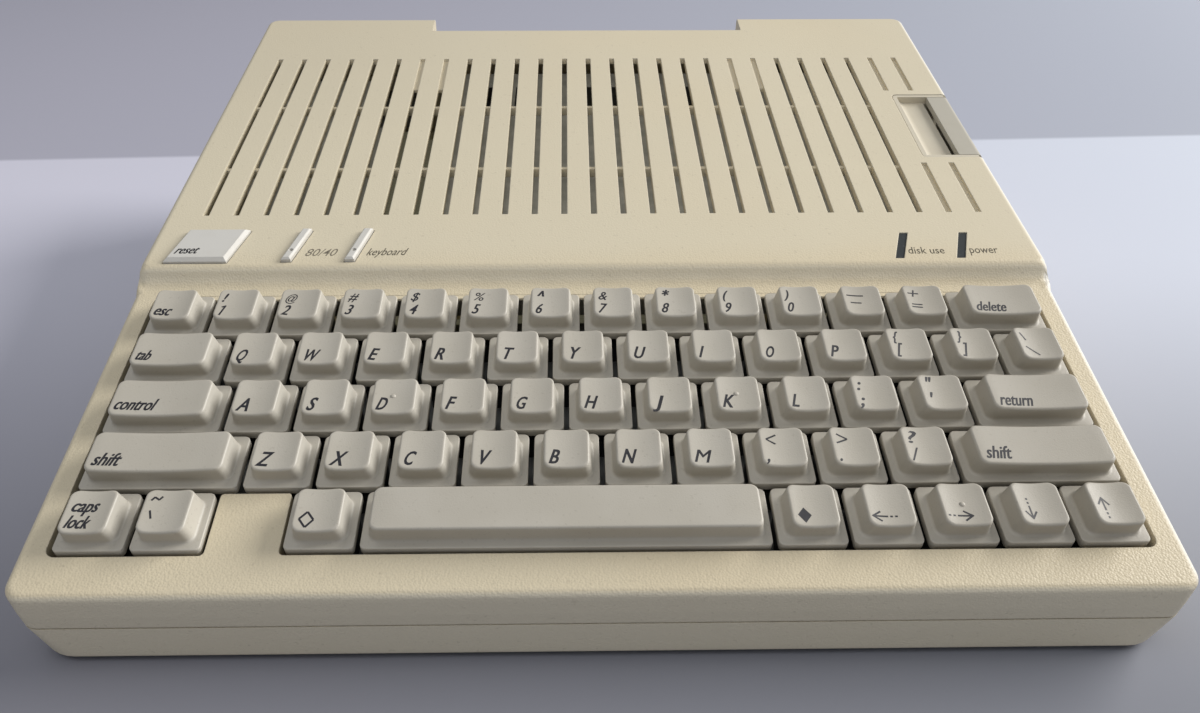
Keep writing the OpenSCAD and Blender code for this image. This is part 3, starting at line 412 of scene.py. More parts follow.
def inkFinish(name, colour, faded):
    f = Finish(name)
    worn = f.ramp(f.noise(900, 3), 0.45, 0.75)
    f.feed(colour=f.blend(worn * 0.6, colour, faded), roughness=0.5 + worn * 0.1,
           normal=f.bump(f.noise(2600, 2), 0.00001, 0.4))
    return f.material


windowLook = {
    "smoke": (0.036, 0.04, 0.041),
    "dust": (0.075, 0.08, 0.08),
    "glint": (0.4, 0.42, 0.42),
    "glintAt": (117.4, 6.2, 0),       # mm across, up and above the vent deck
    "glintSize": 0.0006,
}


def windowFinish():
    f = Finish("smokedWindow", specular=0.25)
    look = windowLook
    dust = f.ramp(f.noise(900, 2), 0.55, 0.8)
    glint = f.near(onVent @ Vector(look["glintAt"]), look["glintSize"])
    colour = f.blend(dust * 0.5, look["smoke"], look["dust"])
    f.feed(colour=f.blend(glint * 0.8, colour, look["glint"]),
           roughness=0.4 + dust * 0.2, normal=f.bump(f.noise(1500, 2), 0.00002, 0.3))
    return f.material


finishes = {
    "shell": shellFinish("mouldedShell"),
    "handleShell": shellFinish("mouldedHandle", 0.12),
    "key": keyFinish(),
    "button": buttonFinish(),
    "bezel": plainPlastic("warmBezel", (0.6, 0.545, 0.43), (0.53, 0.47, 0.36), 0.42),
    "lever": plainPlastic("greyLever", (0.45, 0.42, 0.35), (0.39, 0.36, 0.29), 0.42),
    "dark": plainPlastic("darkPlastic", (0.018, 0.018, 0.018), (0.035, 0.033, 0.03), 0.5),
    "knob": plainPlastic("knobPlastic", (0.3, 0.28, 0.24), (0.2, 0.19, 0.17), 0.5),
    "port": plainPlastic("portPlastic", (0.2, 0.2, 0.2), (0.13, 0.13, 0.13), 0.45),
    "cable": plainPlastic("cableGrey", (0.24, 0.24, 0.26), (0.18, 0.18, 0.2), 0.5),
    "carriage": plainPlastic("carriagePlastic", (0.5, 0.47, 0.38), (0.4, 0.37, 0.3), 0.5),
    "rubber": plainPlastic("footRubber", (0.03, 0.03, 0.03), (0.06, 0.058, 0.055), 0.75),
    "cover": coverFinish(),
    "steel": metal("brightSteel", (0.6, 0.6, 0.6), 0.32),
    "sheet": metal("dullSheet", (0.3, 0.3, 0.285), 0.45),
    "board": boardFinish(),
    "window": windowFinish(),
    "keyInk": inkFinish("keyInk", (0.01, 0.0095, 0.014), (0.025, 0.024, 0.028)),
    "caseInk": inkFinish("caseInk", (0.19, 0.165, 0.12), (0.28, 0.25, 0.185)),
}
print("finishes made:", len(finishes))

nodeFinishes = {
    "shell": ["upper_case", "lower_case"],
    "handleShell": ["handle"],
    "button": ["reset_button", "columns_switch", "keyboard_switch"],
    "bezel": ["latch_bezel"],
    "lever": ["latch_lever"],
    "dark": ["key_switches", "board_chips", "drive_motor", "head_stepper", "speaker",
             "power_switch", "power_rocker"],
    "knob": ["volume_wheel"],
    "port": ["rear_ports"],
    "cable": ["ribbon_cables"],
    "carriage": ["head_carriage"],
    "rubber": ["rubber_feet"],
    "steel": ["case_screws", "pivot_pins", "drive_spindle", "carriage_rails", "clamp_arm"],
    "sheet": ["key_plate", "drive_frame"],
    "cover": ["drive_cover", "voltage_converter"],
    "board": ["keyboard_board", "main_board", "audio_board", "switch_board", "lamp_board"],
    "window": ["lamp_windows"],
}


def dressNodes():
    for finish, names in nodeFinishes.items():
        for name in names:
            data = frame["nodes"][name].data
            data.materials.clear()
            data.materials.append(finishes[finish])


dressNodes()


# mesh helpers
def makePiece(name, build, where, finish, body, sharpFrom):
    # build(bm) draws in mm on the plane that where stands for
    # edges sharper than sharpFrom degrees stay sharp, and 0 leaves the faces flat
    bm = bmesh.new()
    build(bm)
    bmesh.ops.transform(bm, matrix=where, verts=bm.verts)
    bmesh.ops.recalc_face_normals(bm, faces=bm.faces)
    data = bpy.data.meshes.new(name)
    bm.to_mesh(data)
    bm.free()
    data.materials.append(finishes[finish])
    piece = bpy.data.objects.new(name, data)
    bpy.context.scene.collection.objects.link(piece)
    if sharpFrom:
        data.shade_smooth()
        data.set_sharp_from_angle(angle=math.radians(sharpFrom))
    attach(piece, body)
    return piece


def roundedRing(width, length, r, centreY, across, along):
    # points of a rounded rectangle, with extra ones on its straight sides
    halfW, halfL = width / 2, length / 2
    r = min(r, halfW - 0.01, halfL - 0.01)
    turn = 7                # steps round a corner
    corners = ((halfW - r, halfL - r, 0), (r - halfW, halfL - r, 90),
               (r - halfW, r - halfL, 180), (halfW - r, r - halfL, 270))
    points = []
    for i, (cx, cy, start) in enumerate(corners):
        for k in range(turn + 1):
            a = math.radians(start + 90 * k / turn)
            points.append((cx + r * math.cos(a), cy + r * math.sin(a)))
        nextX, nextY, nextStart = corners[(i + 1) % 4]
        b = math.radians(nextStart)
        last, first = points[-1], (nextX + r * math.cos(b), nextY + r * math.sin(b))
        extra = across if i % 2 == 0 else along
        for k in range(1, extra):
            t = k / extra
            points.append((last[0] + (first[0] - last[0]) * t, last[1] + (first[1] - last[1]) * t))
    return [(x, y + centreY) for x, y in points]


def loft(bm, rings):
    loops = [[bm.verts.new(p) for p in ring] for ring in rings]
    count = len(loops[0])
    for low, high in zip(loops, loops[1:]):
        for k in range(count):
            n = (k + 1) % count
            bm.faces.new((low[k], low[n], high[n], high[k]))
    bm.faces.new(list(reversed(loops[0])))
    bm.faces.new(loops[-1])


# keys
capLook = {
    "skirt": 2.8,           # flange thickness
    "height": 6.3,          # top above the flange
    "dish": 0.8,
    "baseSide": 2.1,        # flange edge to the foot of the raised top
    "topSide": 2.8,
    "baseLength": 13.2,
    "topLength": 13.1,
    "topShift": -0.8,       # the top sits nearer the front
    "footShift": -0.1,
    "edge": 0.7,            # rounding of the top's edge
    "foot": 0.9,            # hollow curve at its foot
    "footLift": 0.06,       # where that starts above the flange
    "lip": 0.35,            # rounding of the flange
    "hem": [(0.3, 1.2, 0.0), (0.05, 1.4, 0.4), (0.0, 1.5, 1.6)],    # inset, corner, height up the skirt
    "flangeCorner": 1.5,    # corner radii, seen from above
    "footCorner": 2.3,
    "topCorner": 2.2,
    "middleCorner": 1.8,
    "wall": (0.35, 0.7, 1.0),       # where the rings of the wall lie, from foot to top
    "top": (0.86, 0.66, 0.44, 0.22, 0.05),      # and those of the top, as shares of its size
    "dot": 0.75,            # radius of a home key's dot
    "dotFlat": 0.5,
    "dotAt": (-0.4, -0.9),
}


def quarterTurn(steps, first=0):
    # sine and cosine on the way from 0 to 90 degrees
    for k in range(first, steps + 1):
        a = math.radians(90 * k / steps)
        yield math.sin(a), math.cos(a)


def capWidth(span):
    return span * keyPitch - (keyPitch - flange)


def keyPlace(row, left, span):
    # middle of a key on the deck
    return (left + span / 2 - keyUnits / 2) * keyPitch, keyFront + flange / 2 + row * keyPitch


def dishDrop(x, halfTop, dished):
    if not dished:
        return 0.0
    return -capLook["dish"] * (1 - min(1, abs(x) / halfTop) ** 2)


def capRings(span, dished):
    c = capLook
    width = capWidth(span)
    across = 6 if span < 2 else round(5 * span)     # points along a long side
    rings = []

    def ring(w, length, r, centreY, z, dish=0.0):
        halfTop = width / 2 - c["topSide"]
        points = roundedRing(w, length, r, centreY, across, 5)
        rings.append([(x, y, z + dish * dishDrop(x, halfTop, dished)) for x, y in points])

    for inset, corner, up in c["hem"]:
        ring(width - inset, flange - inset, corner, 0, up - c["skirt"])
    for s, k in quarterTurn(5):         # the flange's rounded lip
        inset = c["lip"] * (1 - k)
        ring(width - 2 * inset, flange - 2 * inset, c["flangeCorner"] - inset * 0.4, 0,
             -c["lip"] * (1 - s))
    baseW, baseL = width - 2 * c["baseSide"], c["baseLength"]
    for s, k in quarterTurn(5):         # the hollow curve up to the raised top
        out = c["foot"] * (1 - s)
        ring(baseW + 2 * out, baseL + 2 * out, c["footCorner"] + out, c["footShift"],
             c["footLift"] + c["foot"] * (1 - k))
    topW, topL = width - 2 * c["topSide"], c["topLength"]
    wallLow, wallHigh = c["foot"], c["height"] - c["edge"]
    for t in c["wall"]:                 # the wall, which takes on the dish as it rises
        ring(baseW + (topW - baseW) * t, baseL + (topL - baseL) * t,
             c["footCorner"] + (c["topCorner"] - c["footCorner"]) * t,
             c["footShift"] + (c["topShift"] - c["footShift"]) * t,
             wallLow + (wallHigh - wallLow) * t, t * t)
    for s, k in quarterTurn(6, 1):      # the rounded edge of the top
        inset = c["edge"] * (1 - k)
        ring(topW - 2 * inset, topL - 2 * inset, c["topCorner"] - inset * 0.5, c["topShift"],
             c["height"] - c["edge"] * (1 - s), 1.0)
    flatW, flatL = topW - 2 * c["edge"], topL - 2 * c["edge"]
    for t in c["top"]:                  # the dished top
        ring(flatW * t, flatL * t, c["middleCorner"] * t, c["topShift"], c["height"], 1.0)
    return rings


def addCap(bm, row, left, span, dished):
    x, y = keyPlace(row, left, span)
    rings = [[(px + x, py + y, pz) for px, py, pz in ring] for ring in capRings(span, dished)]
    loft(bm, rings)


# node, row from the front, left edge in key widths, one width per key, legends from the left
keyRows = [
    ("key_escape", 4, 0, [1], ["esc"]),
    ("keys_numbers_left", 4, 1, [1] * 6, ["!1", "@2", "#3", "$4", "%5", "^6"]),
    ("keys_numbers_right", 4, 7, [1] * 6, ["&7", "*8", "(9", ")0", "_-", "+="]),
    ("key_delete", 4, 13, [1.5], ["delete"]),
    ("key_tab", 3, 0, [1.5], ["tab"]),
    ("keys_upper_left", 3, 1.5, [1] * 6, list("QWERTY")),
    ("keys_upper_right", 3, 7.5, [1] * 6, ["U", "I", "O", "P", "{[", "}]"]),
    ("key_backslash", 3, 13.5, [1], ["|\\"]),
    ("key_control", 2, 0, [1.75], ["control"]),
    ("keys_home_left", 2, 1.75, [1] * 5, list("ASDFG")),
    ("keys_home_right", 2, 6.75, [1] * 6, ["H", "J", "K", "L", ":;", "\"'"]),
    ("key_return", 2, 12.75, [1.75], ["return"]),
    ("key_left_shift", 1, 0, [2.25], ["shift"]),
    ("keys_lower_left", 1, 2.25, [1] * 5, list("ZXCVB")),
    ("keys_lower_right", 1, 7.25, [1] * 5, ["N", "M", "<,", ">.", "?/"]),
    ("key_right_shift", 1, 12.25, [2.25], ["shift"]),
    ("key_caps_lock", 0, 0, [1], ["caps lock"]),
    ("key_accent", 0, 1, [1], ["~`"]),
    ("key_open_symbol", 0, 3, [1], ["open"]),
    ("space_bar", 0, 4, [5.5], [""]),
    ("key_solid_symbol", 0, 9.5, [1], ["solid"]),
    ("key_arrow_left", 0, 10.5, [1], ["left"]),
    ("key_arrow_right", 0, 11.5, [1], ["right"]),
    ("key_arrow_down", 0, 12.5, [1], ["down"]),
    ("key_arrow_up", 0, 13.5, [1], ["up"]),
]
dotted = ("D", "K", "right")    # keys with a raised dot for the fingers

inkLook = {
    "letter": 4.6,          # height of a capital
    "digit": 4.2,
    "sign": 3.6,
    "narrow": 0.64,         # width of a glyph against the font's
    "lean": 0.26,
    "weight": 0.1,          # fattens each stroke
    "smear": 0.07,          # and each upright, to both sides
    "digitWeight": 0.05,
    "wordWeight": 0.05,
    "wordSmear": 0.1,
    "fineSigns": "@%&#$?",  # signs that a full smear would fill
    "fineSmear": 0.03,
    "stroke": 0.5,          # width of a drawn line
    "left": 1.3,            # in from the left edge of the top
    "front": 1.3,
    "upper": 7.2,           # of the upper mark of a pair
    "lift": 0.025,          # above the cap
    "depth": 0.08,          # from there down into it
    "bend": 1.1,            # longest edge that isn't divided to follow the dish
    "weld": 0.004,
}
glyphHeight = 0.682         # of a capital, in font sizes

# marks with a size or weight of their own: height, width, weight
ownWidths = {
    "C": (4.4, 2.3, 0.1), "D": (4.4, 2.3, 0.1), "G": (4.4, 2.4, 0.08), "O": (4.4, 2.3, 0.1),
    "Q": (4.5, 2.4, 0.07), "W": (4.4, 3.8, 0.07), "M": (4.2, 3.6, 0.0), "J": (4.5, 1.8, 0.05),
    "@": (3.2, 3.0, 0.0), "%": (3.5, 2.9, 0.0), "&": (3.6, 2.5, 0.03), "#": (3.8, 2.4, 0.03),
    "$": (3.7, 2.0, 0.02), "*": (4.1, 2.0, 0.1), "^": (4.2, 2.1, 0.1), "?": (4.1, 2.2, 0.03),
    ":": (4.4, 0.8, 0.12), ";": (4.4, 0.9, 0.12), "\"": (4.6, 1.5, 0.1), "'": (4.6, 0.6, 0.14),
}
# words of a legend: text, height, width, and place from the top's left and front edges
keyWords = {
    "esc": [("esc", 4.25, 4.5, 1.1, 1.6)],
    "tab": [("tab", 3.9, 3.9, 1.3, 1.8)],
    "control": [("control", 4.1, 10.4, 1.3, 1.9)],
    "delete": [("delete", 4.1, 9.1, 1.6, 1.2)],
    "return": [("return", 4.3, 9.0, 1.7, 1.1)],
    "shift": [("shift", 4.1, 6.6, 1.8, 1.7)],
    "caps lock": [("caps", 3.7, 6.2, 1.5, 6.4), ("lock", 3.7, 5.4, 1.5, 1.5)],
}


def flatText(words, height, width=None, weight=None, lean=None, smear=None):
    # outline of a text as a flat mesh in mm, its left end at the origin
    look = inkLook
    curve = bpy.data.curves.new("words", "FONT")
    curve.body = words
    curve.size = height / glyphHeight
    curve.resolution_u = 3
    curve.offset = look["weight"] if weight is None else weight
    holder = bpy.data.objects.new("words", curve)
    bpy.context.scene.collection.objects.link(holder)
    data = bpy.data.meshes.new_from_object(holder.evaluated_get(bpy.context.evaluated_depsgraph_get()))
    bpy.data.objects.remove(holder)
    bpy.data.curves.remove(curve)
    start = min(v.co.x for v in data.vertices)
    end = max(v.co.x for v in data.vertices)
    narrow = width / (end - start) if width else look["narrow"]
    lean = look["lean"] if lean is None else lean
    smear = look["smear"] if smear is None else smear
    points, faces = [], []
    for shift in (-smear, smear):
        first = len(points)
        points += [((v.co.x - start) * narrow + v.co.y * lean + shift, v.co.y) for v in data.vertices]
        faces += [tuple(first + i for i in p.vertices) for p in data.polygons]
    bpy.data.meshes.remove(data)
    return points, faces


def stroke(points, faces, start, end, width):
    # straight line of ink
    a, b = Vector(start), Vector(end)
    side = (b - a).normalized().orthogonal() * width / 2
    first = len(points)
    points += [tuple(a - side), tuple(b - side), tuple(b + side), tuple(a + side)]
    faces.append((first, first + 1, first + 2, first + 3))


def strokes(lines, width=inkLook["stroke"]):
    points, faces = [], []
    for start, end in lines:
        stroke(points, faces, start, end, width)
    return points, faces


# an arrow with a broken tail, pointing left
arrowLines = [((-3.2, 0.12), (-0.9, -1.45)), ((-3.2, -0.12), (-0.9, 1.45)),
              ((-2.9, 0), (0.8, 0)), ((1.35, 0), (2.0, 0)), ((2.55, 0), (3.2, 0))]
diamondTips = [(0, 2.3), (1.75, 0), (0, -2.3), (-1.75, 0)]
diamondLine = 0.55


def arrowShape(turn):
    points, faces = strokes(arrowLines)
    a = math.radians(turn)
    return [(x * math.cos(a) - y * math.sin(a), x * math.sin(a) + y * math.cos(a))
            for x, y in points], faces


def diamondShape(solid):
    if solid:
        return diamondTips, [(0, 1, 2, 3)]
    return strokes(zip(diamondTips, diamondTips[1:] + diamondTips[:1]), diamondLine)


def addInk(bm, points, faces, x, y, surface):
    # lays a flat shape on a surface, with a little thickness
    sheet = bmesh.new()
    verts = [sheet.verts.new((px + x, py + y, 0)) for px, py in points]
    for face in faces:
        if len(set(face)) > 2:
            sheet.faces.new([verts[i] for i in face])
    bmesh.ops.remove_doubles(sheet, verts=sheet.verts, dist=inkLook["weld"])
    longEdges = [e for e in sheet.edges if e.calc_length() > inkLook["bend"]]
    bmesh.ops.subdivide_edges(sheet, edges=longEdges, cuts=2)
    bmesh.ops.triangulate(sheet, faces=sheet.faces)
    top = {}
    for v in sheet.verts:
        top[v] = bm.verts.new((v.co.x, v.co.y, surface(v.co.x, v.co.y) + inkLook["lift"]))
    for f in sheet.faces:
        bm.faces.new([top[v] for v in f.verts])
    rims = [e for e in sheet.edges if e.is_boundary]
    low = {}
    for e in rims:
        for v in e.verts:
            if v not in low:
                low[v] = bm.verts.new(top[v].co - Vector((0, 0, inkLook["depth"])))
    for e in rims:
        a, b = e.verts
        bm.faces.new((top[a], top[b], low[b], low[a]))
    sheet.free()


# marks drawn as plain lines, each from its start to its end
strokeMarks = {
    "1": [((0.6, 0), (1.7, 4.3)), ((1.75, 4.2), (0.65, 3.45))],
    ">": [((0.5, 3.2), (3.2, 1.6)), ((3.2, 1.6), (0.1, 0.1))],
    "<": [((3.3, 3.2), (0.5, 1.6)), ((0.5, 1.6), (2.9, 0.1))],
    "\\": [((0.6, 3.6), (3.8, 0.3))],
    "|": [((0.4, 3.4), (1.4, 0.3))],
}
# whole legends drawn in the same way, with their place on the top
strokeLegends = {
    "_-": [([((0.9, 8.4), (6.1, 8.4)), ((1.6, 5.2), (5.0, 5.2))], 0.6, 0)],
    "+=": [([((1.5, 9.2), (4.9, 9.2)), ((2.8, 7.7), (3.6, 10.7)),
             ((1.7, 4.3), (5.0, 4.3)), ((1.5, 3.1), (4.8, 3.1))], 0, 0)],
    "~`": [([((0, 0.2), (0.7, 1.3)), ((0.6, 1.3), (1.9, 0.5)), ((1.8, 0.5), (2.5, 1.6))], 1.7, 9.3),
           ([((1.7, 6.5), (2.5, 4.1))], 0.5, 0)],
}
# turn of an arrow, or whether a diamond is solid, and the place of its middle
arrowLegends = {"left": (0, 4.3, 2.95), "right": (180, 4.3, 2.95),
                "down": (90, 3.1, 4.9), "up": (-90, 3.1, 4.9)}
diamondLegends = {"open": (False, 3.4, 3.5), "solid": (True, 3.4, 3.5)}
# how far the marks of a pair stand from the usual places, right and up
signShift = (0.1, 0.0)
bracketShift = (0.7, 1.2)
braceShift = (0.4, 0.4)


def glyph(mark, height):
    if mark in strokeMarks:
        return strokes(strokeMarks[mark])
    height, width, weight = ownWidths.get(mark, (height, None, None))
    if mark.isdigit():
        weight = inkLook["digitWeight"]
    smear = inkLook["fineSmear"] if mark in inkLook["fineSigns"] else None
    return flatText(mark, height, width, weight, smear=smear)


def legendShapes(legend):
    # (points, faces, x, y) of one key's marks, from the left and front edges of its top
    ink = inkLook
    left, front = ink["left"], ink["front"]
    if legend in arrowLegends:
        turn, x, y = arrowLegends[legend]
        return [(*arrowShape(turn), x, y)]
    if legend in diamondLegends:
        solid, x, y = diamondLegends[legend]
        return [(*diamondShape(solid), x, y)]
    if legend in keyWords:
        return [(*flatText(words, height, width, ink["wordWeight"], smear=ink["wordSmear"]), x, y)
                for words, height, width, x, y in keyWords[legend]]
    if legend in strokeLegends:
        return [(*strokes(lines), x, y) for lines, x, y in strokeLegends[legend]]
    if len(legend) == 2:
        sign, digit = legend
        bracket = digit in "[]"
        lower = bracketShift if bracket else (0, 0)
        upper = braceShift if bracket else signShift
        return [(*glyph(digit, ink["digit"]), left + lower[0], front + lower[1]),
                (*glyph(sign, ink["sign"]), left + upper[0], ink["upper"] + upper[1])]
    if legend:
        return [(*glyph(legend, ink["letter"]), left + signShift[0], front)]
    return []


def topSurface(row, left, span, dished):
    x0, _ = keyPlace(row, left, span)
    halfTop = capWidth(span) / 2 - capLook["topSide"]
    return lambda x, y: capLook["height"] + dishDrop(x - x0, halfTop, dished)


def homeDot(bm, x, y, z):
    made = bmesh.ops.create_icosphere(bm, subdivisions=2, radius=capLook["dot"])
    flattened = Matrix.Diagonal((1, 1, capLook["dotFlat"], 1))
    bmesh.ops.transform(bm, matrix=Matrix.Translation((x, y, z)) @ flattened, verts=made["verts"])


def buildKeys():
    for node, row, first, spans, legends in keyRows:
        def caps(bm):
            left = first
            for span, legend in zip(spans, legends):
                dished = node != "space_bar"
                addCap(bm, row, left, span, dished)
                if legend in dotted:
                    x, y = keyPlace(row, left, span)
                    dotX, dotY = x + capLook["dotAt"][0], y + capLook["dotAt"][1]
                    homeDot(bm, dotX, dotY, topSurface(row, left, span, dished)(dotX, dotY))
                left += span

        def marks(bm):
            left = first
            for span, legend in zip(spans, legends):
                x, y = keyPlace(row, left, span)
                halfTop = capWidth(span) / 2 - capLook["topSide"]
                frontEdge = y + capLook["topShift"] - capLook["topLength"] / 2
                surface = topSurface(row, left, span, True)
                for points, faces, dx, dy in legendShapes(legend):
                    addInk(bm, points, faces, x - halfTop + dx, frontEdge + dy, surface)
                left += span

        piece = makePiece("cap_" + node, caps, onKeys, "key", node, 50)
        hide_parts(node)
        if any(legends):
            makePiece("legend_" + node, marks, onKeys, "keyInk", node, 0)
    print("keys built")


buildKeys()

caseWords = [
    # words, left end, height up the vent deck, letter height, width, lean, smear, body
    ("reset", -135.4, 6.0, 4.0, 6.9, 0.32, 0.09, "reset_button"),
    ("80/40", -94.2, 6.6, 3.8, 9.8, 0.28, 0.0, "case"),
    ("keyboard", -74.2, 6.8, 3.8, 12.3, 0.28, 0.02, "case"),
    ("disk use", 101.9, 6.1, 3.6, 11.8, 0.1, 0.01, "case"),
    ("power", 122.0, 6.2, 3.8, 9.2, 0.1, 0.01, "case"),
]
labelWeight = 0.01


def buildLabels():
    for words, x, v, size, width, lean, smear, body in caseWords:
        onButton = body == "reset_button"
        raised = buttonTop if onButton else 0.0

        def mark(bm):
            points, faces = flatText(words, size, width, labelWeight, lean, smear)
            addInk(bm, points, faces, x, v, lambda px, py: raised)

        name = "label_" + words.replace("/", "_").replace(" ", "_")
        ink, slot = ("keyInk", "button") if onButton else ("caseInk", "case")
        makePiece(name, mark, onVent, ink, body, 0)
    print("labels built")


buildLabels()

# the curved step between the two decks
stepLook = {
    "slope": 68,            # steepest part, in degrees
    "foot": 5.4,            # radius of the hollow foot
    "brow": 2.62,           # radius of the rounded top
    "browAt": (2.6, -2.6),  # its middle, back from the step and down from the vent deck
    "edge": 3.0,            # rounding of the case's long top edges
    "ends": (142.0, 145.0),     # where the shell's own lip begins to be covered, and fully is
    "lip": 2.6,             # height of that lip
    "swell": 5.0,           # how far before the lip its cover starts
    "cover": 0.03,          # how far above the lip the cover lies
    "coverRoot": 0.15,      # and how far below the deck it starts
    "ahead": (8.5, 7.5, 6.5, 1.2),      # rows in the deck, three before the step and one before the foot
    "sunk": 0.06,           # how deep those rows lie
    "proud": 0.02,          # and the foot's curve a little above the shell's
    "thick": 1.1,
    "root": 0.9,            # depth of the underside below the deck
    "hidden": (1.2, 1.5),   # the underside leaves the deck before the step, over a length
    "arcSteps": 10,
    "bays": 12,             # mm between the strip's columns
    "endColumns": 12,
    "side": 0.02,           # the strip stops short of the case's side
}
halfCase = caseDims["width"] / 2


def deckZ(y):
    return caseDims["deckFront"] + y * math.tan(deckAngle)


def smooth(t):
    t = max(0.0, min(1.0, t))
    return t * t * (3 - 2 * t)


def stepProfile():
    # (y, z) in the case's axes, up from the keyboard deck
    look = stepLook
    steep = math.radians(look["slope"])
    by, bz = stepY + look["browAt"][0], ventFront + look["browAt"][1]
    brow = look["brow"]
    ty, tz = by - brow * math.sin(steep), bz + brow * math.cos(steep)
    rise, run = math.tan(steep), math.tan(deckAngle)
    crossY = (caseDims["deckFront"] - tz + rise * ty) / (rise - run)
    reach = look["foot"] * math.tan((steep - deckAngle) / 2)
    sy = crossY - reach * math.cos(deckAngle)
    sz = deckZ(crossY) - reach * math.sin(deckAngle)
    cy, cz = sy - look["foot"] * math.sin(deckAngle), sz + look["foot"] * math.cos(deckAngle)
    *ahead, last = look["ahead"]
    points = [(y, deckZ(y) - look["sunk"]) for y in [stepY - gap for gap in ahead] + [sy - last]]
    steps = look["arcSteps"]
    for k in range(steps + 1):
        a = deckAngle + (steep - deckAngle) * k / steps
        points.append((cy + look["foot"] * math.sin(a),
                       cz - look["foot"] * math.cos(a) + look["proud"]))
    for k in range(steps + 1):
        a = steep + (ventAngle - steep) * k / steps
        points.append((by - brow * math.sin(a), bz + brow * math.cos(a)))
    return points


def sideDrop(x):
    # how far the rounded side edge has fallen at x
    r = stepLook["edge"]
    t = max(0.0, abs(x) - (halfCase - r))
    return r - math.sqrt(max(0.0, r * r - t * t))


def lipZ(x, y):
    # the shell's own lip at the foot of the step, and a swelling before it
    r = stepLook["lip"]
    start = stepY - r
    swell, cover = stepLook["swell"], stepLook["cover"]
    if y < start:
        low = deckZ(y) - sideDrop(x) - stepLook["coverRoot"]
        high = min(deckZ(stepY), deckZ(start) + r - sideDrop(x))
        return low + (high + cover - low) * smooth((y - start + swell) / swell)
    along = min(y - start, r)
    arc = deckZ(stepY) + r - math.sqrt(max(0.0, r * r - along * along))
    return min(arc, deckZ(y) + r - sideDrop(x)) + cover


def buildStep():
    profile = stepProfile()
    look = stepLook

    def strip(bm):
        first, full = look["ends"]
        edge = halfCase - look["side"]
        ends = look["endColumns"]
        half = [*range(0, int(first), look["bays"]), first]
        half += [first + (edge - first) * k / ends for k in range(1, ends + 1)]
        xs = [-x for x in reversed(half[1:])] + half
        before, over = look["hidden"]
        rows, low = [], []
        for x in xs:
            near = smooth((abs(x) - first) / (full - first))
            top, under = [], []
            for y, z in profile:
                z -= sideDrop(x)
                z = max(z, z + (lipZ(x, y) - z) * near)
                inner = smooth((y - stepY + before) / over) * (1 - near)
                root = deckZ(y) - sideDrop(x) - look["root"]
                top.append(bm.verts.new((x, y, z)))
                under.append(bm.verts.new((x, y, root + (z - look["thick"] - root) * inner)))
            rows.append(top)
            low.append(under)
        last = len(profile) - 1
        for k in range(len(xs) - 1):
            for sheet in (rows, low):
                for j in range(last):
                    bm.faces.new((sheet[k][j], sheet[k + 1][j], sheet[k + 1][j + 1], sheet[k][j + 1]))
            for j in (0, last):
                bm.faces.new((rows[k][j], rows[k + 1][j], low[k + 1][j], low[k][j]))
        for k in (0, len(xs) - 1):
            for j in range(last):
                bm.faces.new((rows[k][j], rows[k][j + 1], low[k][j + 1], low[k][j]))

    makePiece("step_curve", strip, onCase, "shell", "case", 50)
    print("step built")


buildStep()

# stage, light and camera
stageLook = {
    "left": (0.64, 0.63, 0.725),
    "right": (0.55, 0.585, 0.665),
    "across": (-0.42, 0.5), # x where the left colour ends and the right one starts; the paler left colour is painted light over the case's shadow
    "front": 0.33,          # painted shadow: how much of that colour the floor before the case keeps
    "shadowY": (-0.22, 0.1),
    "shadowEnd": (-0.7, -0.23),      # the painted shadow fades again towards the camera
    "behind": (0.235, 0.05),        # where the backdrop starts, and its slant
    "seam": 0.006,
    "backdrop": 0.61,
    "shade": (0.08, 0.08, 0.12),
    "world": (0.9, 0.94, 1.0),
    "worldStrength": 0.3,
}
lamps = [
    # name, place, aim, size, watts, colour
    ("window", (1.9, 0.5, 1.2), (0, 0.02, 0.05), (1.5, 1.1), 62, (1.0, 0.98, 0.95)),
    ("ceiling", (-0.3, -0.5, 1.5), (0, 0, 0.05), (1.2, 1.0), 6.5, (0.97, 0.98, 1.0)),
    ("low", (0.2, -1.4, 0.2), (0, -0.15, 0.03), (1.0, 0.3), 1.15, (1.0, 0.98, 0.96)),
]


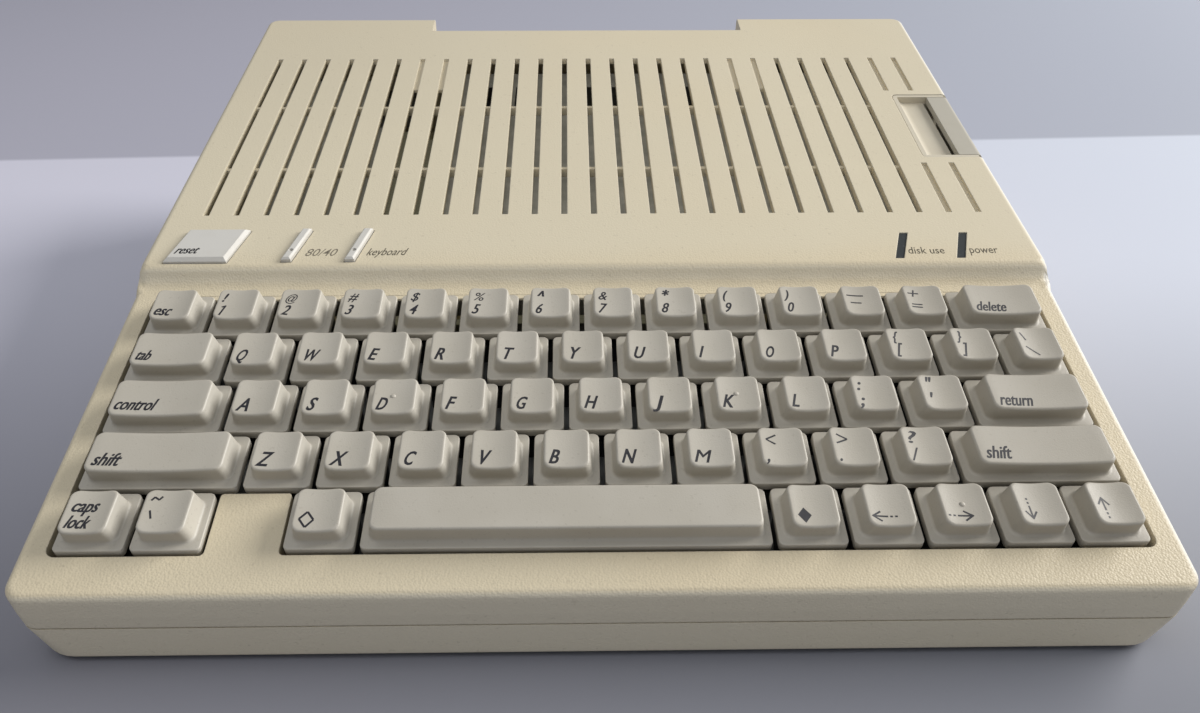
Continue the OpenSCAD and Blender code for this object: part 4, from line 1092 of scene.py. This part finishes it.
def buildStage():
    bm = bmesh.new()
    bmesh.ops.create_grid(bm, x_segments=8, y_segments=8, size=3.0)
    data = bpy.data.meshes.new("floor")
    bm.to_mesh(data)
    bm.free()
    floor = bpy.data.objects.new("floor", data)
    bpy.context.scene.collection.objects.link(floor)
    look = stageLook
    f = Finish("paleFloor", specular=0.2)
    # painted light: the floor is paler on the left, over the case's shadow
    across = f.ramp(f.along("X"), *look["across"])
    colour = f.blend(across, look["left"], look["right"])
    # painted shadow on the floor before the case
    frontShadow = (1 - f.ramp(f.along("Y"), *look["shadowY"])) * f.ramp(f.along("Y"), *look["shadowEnd"])
    colour = f.blend(frontShadow, colour, f.blend(1.0 - look["front"], colour, (0.0, 0.0, 0.0)))
    start, slant = look["behind"]
    beyond = f.ramp(f.along("Y") - f.along("X") * slant, start, start + look["seam"])
    colour = f.blend(beyond * (1 - look["backdrop"]), colour, look["shade"])
    mottle = f.noise(90, 2)
    f.feed(colour=colour, roughness=0.6 + mottle * 0.05)
    data.materials.append(f.material)


def addLamp(name, spot, aim, size, power, colour):
    lamp = bpy.data.lights.new(name, "AREA")
    lamp.shape = "RECTANGLE"
    lamp.size, lamp.size_y = size
    lamp.energy = power
    lamp.color = colour
    holder = bpy.data.objects.new(name, lamp)
    holder.location = spot
    holder.rotation_euler = (Vector(aim) - Vector(spot)).to_track_quat("-Z", "Y").to_euler()
    bpy.context.scene.collection.objects.link(holder)


def lightScene():
    world = bpy.data.worlds.new("room")
    bpy.context.scene.world = world
    world.use_nodes = True
    background = world.node_tree.nodes["Background"]
    background.inputs["Color"].default_value = (*stageLook["world"], 1)
    background.inputs["Strength"].default_value = stageLook["worldStrength"]
    for lamp in lamps:
        addLamp(*lamp)
    bpy.context.scene.view_settings.view_transform = "Standard"


cameraLook = {
    # in the case's axes, in mm
    "spot": (-8.231, -152.406, 218.131),
    "forward": (0.012465, 0.79118, -0.611456),
    "down": (-0.006681, -0.611424, -0.791275),
    "lens": 29.8006,
    "sensor": 36,
    "shift": (0.01404, -0.00938),
    "nearest": 0.01,        # in metres
}


def placeCamera():
    data = bpy.data.cameras.new("camera")
    data.lens = cameraLook["lens"]
    data.shift_x, data.shift_y = cameraLook["shift"]
    data.sensor_width = cameraLook["sensor"]
    data.sensor_fit = "HORIZONTAL"
    data.clip_start = cameraLook["nearest"]
    holder = bpy.data.objects.new("camera", data)
    bpy.context.scene.collection.objects.link(holder)
    turn = onCase.to_3x3().normalized()
    back = -(turn @ Vector(cameraLook["forward"])).normalized()
    up = -(turn @ Vector(cameraLook["down"]))
    right = up.cross(back).normalized()
    up = back.cross(right)
    matrix = Matrix((right, up, back)).transposed().to_4x4()
    matrix.translation = onCase @ Vector(cameraLook["spot"])
    holder.matrix_world = matrix
    bpy.context.scene.camera = holder


buildStage()
lightScene()
placeCamera()
print("stage, light and camera set")
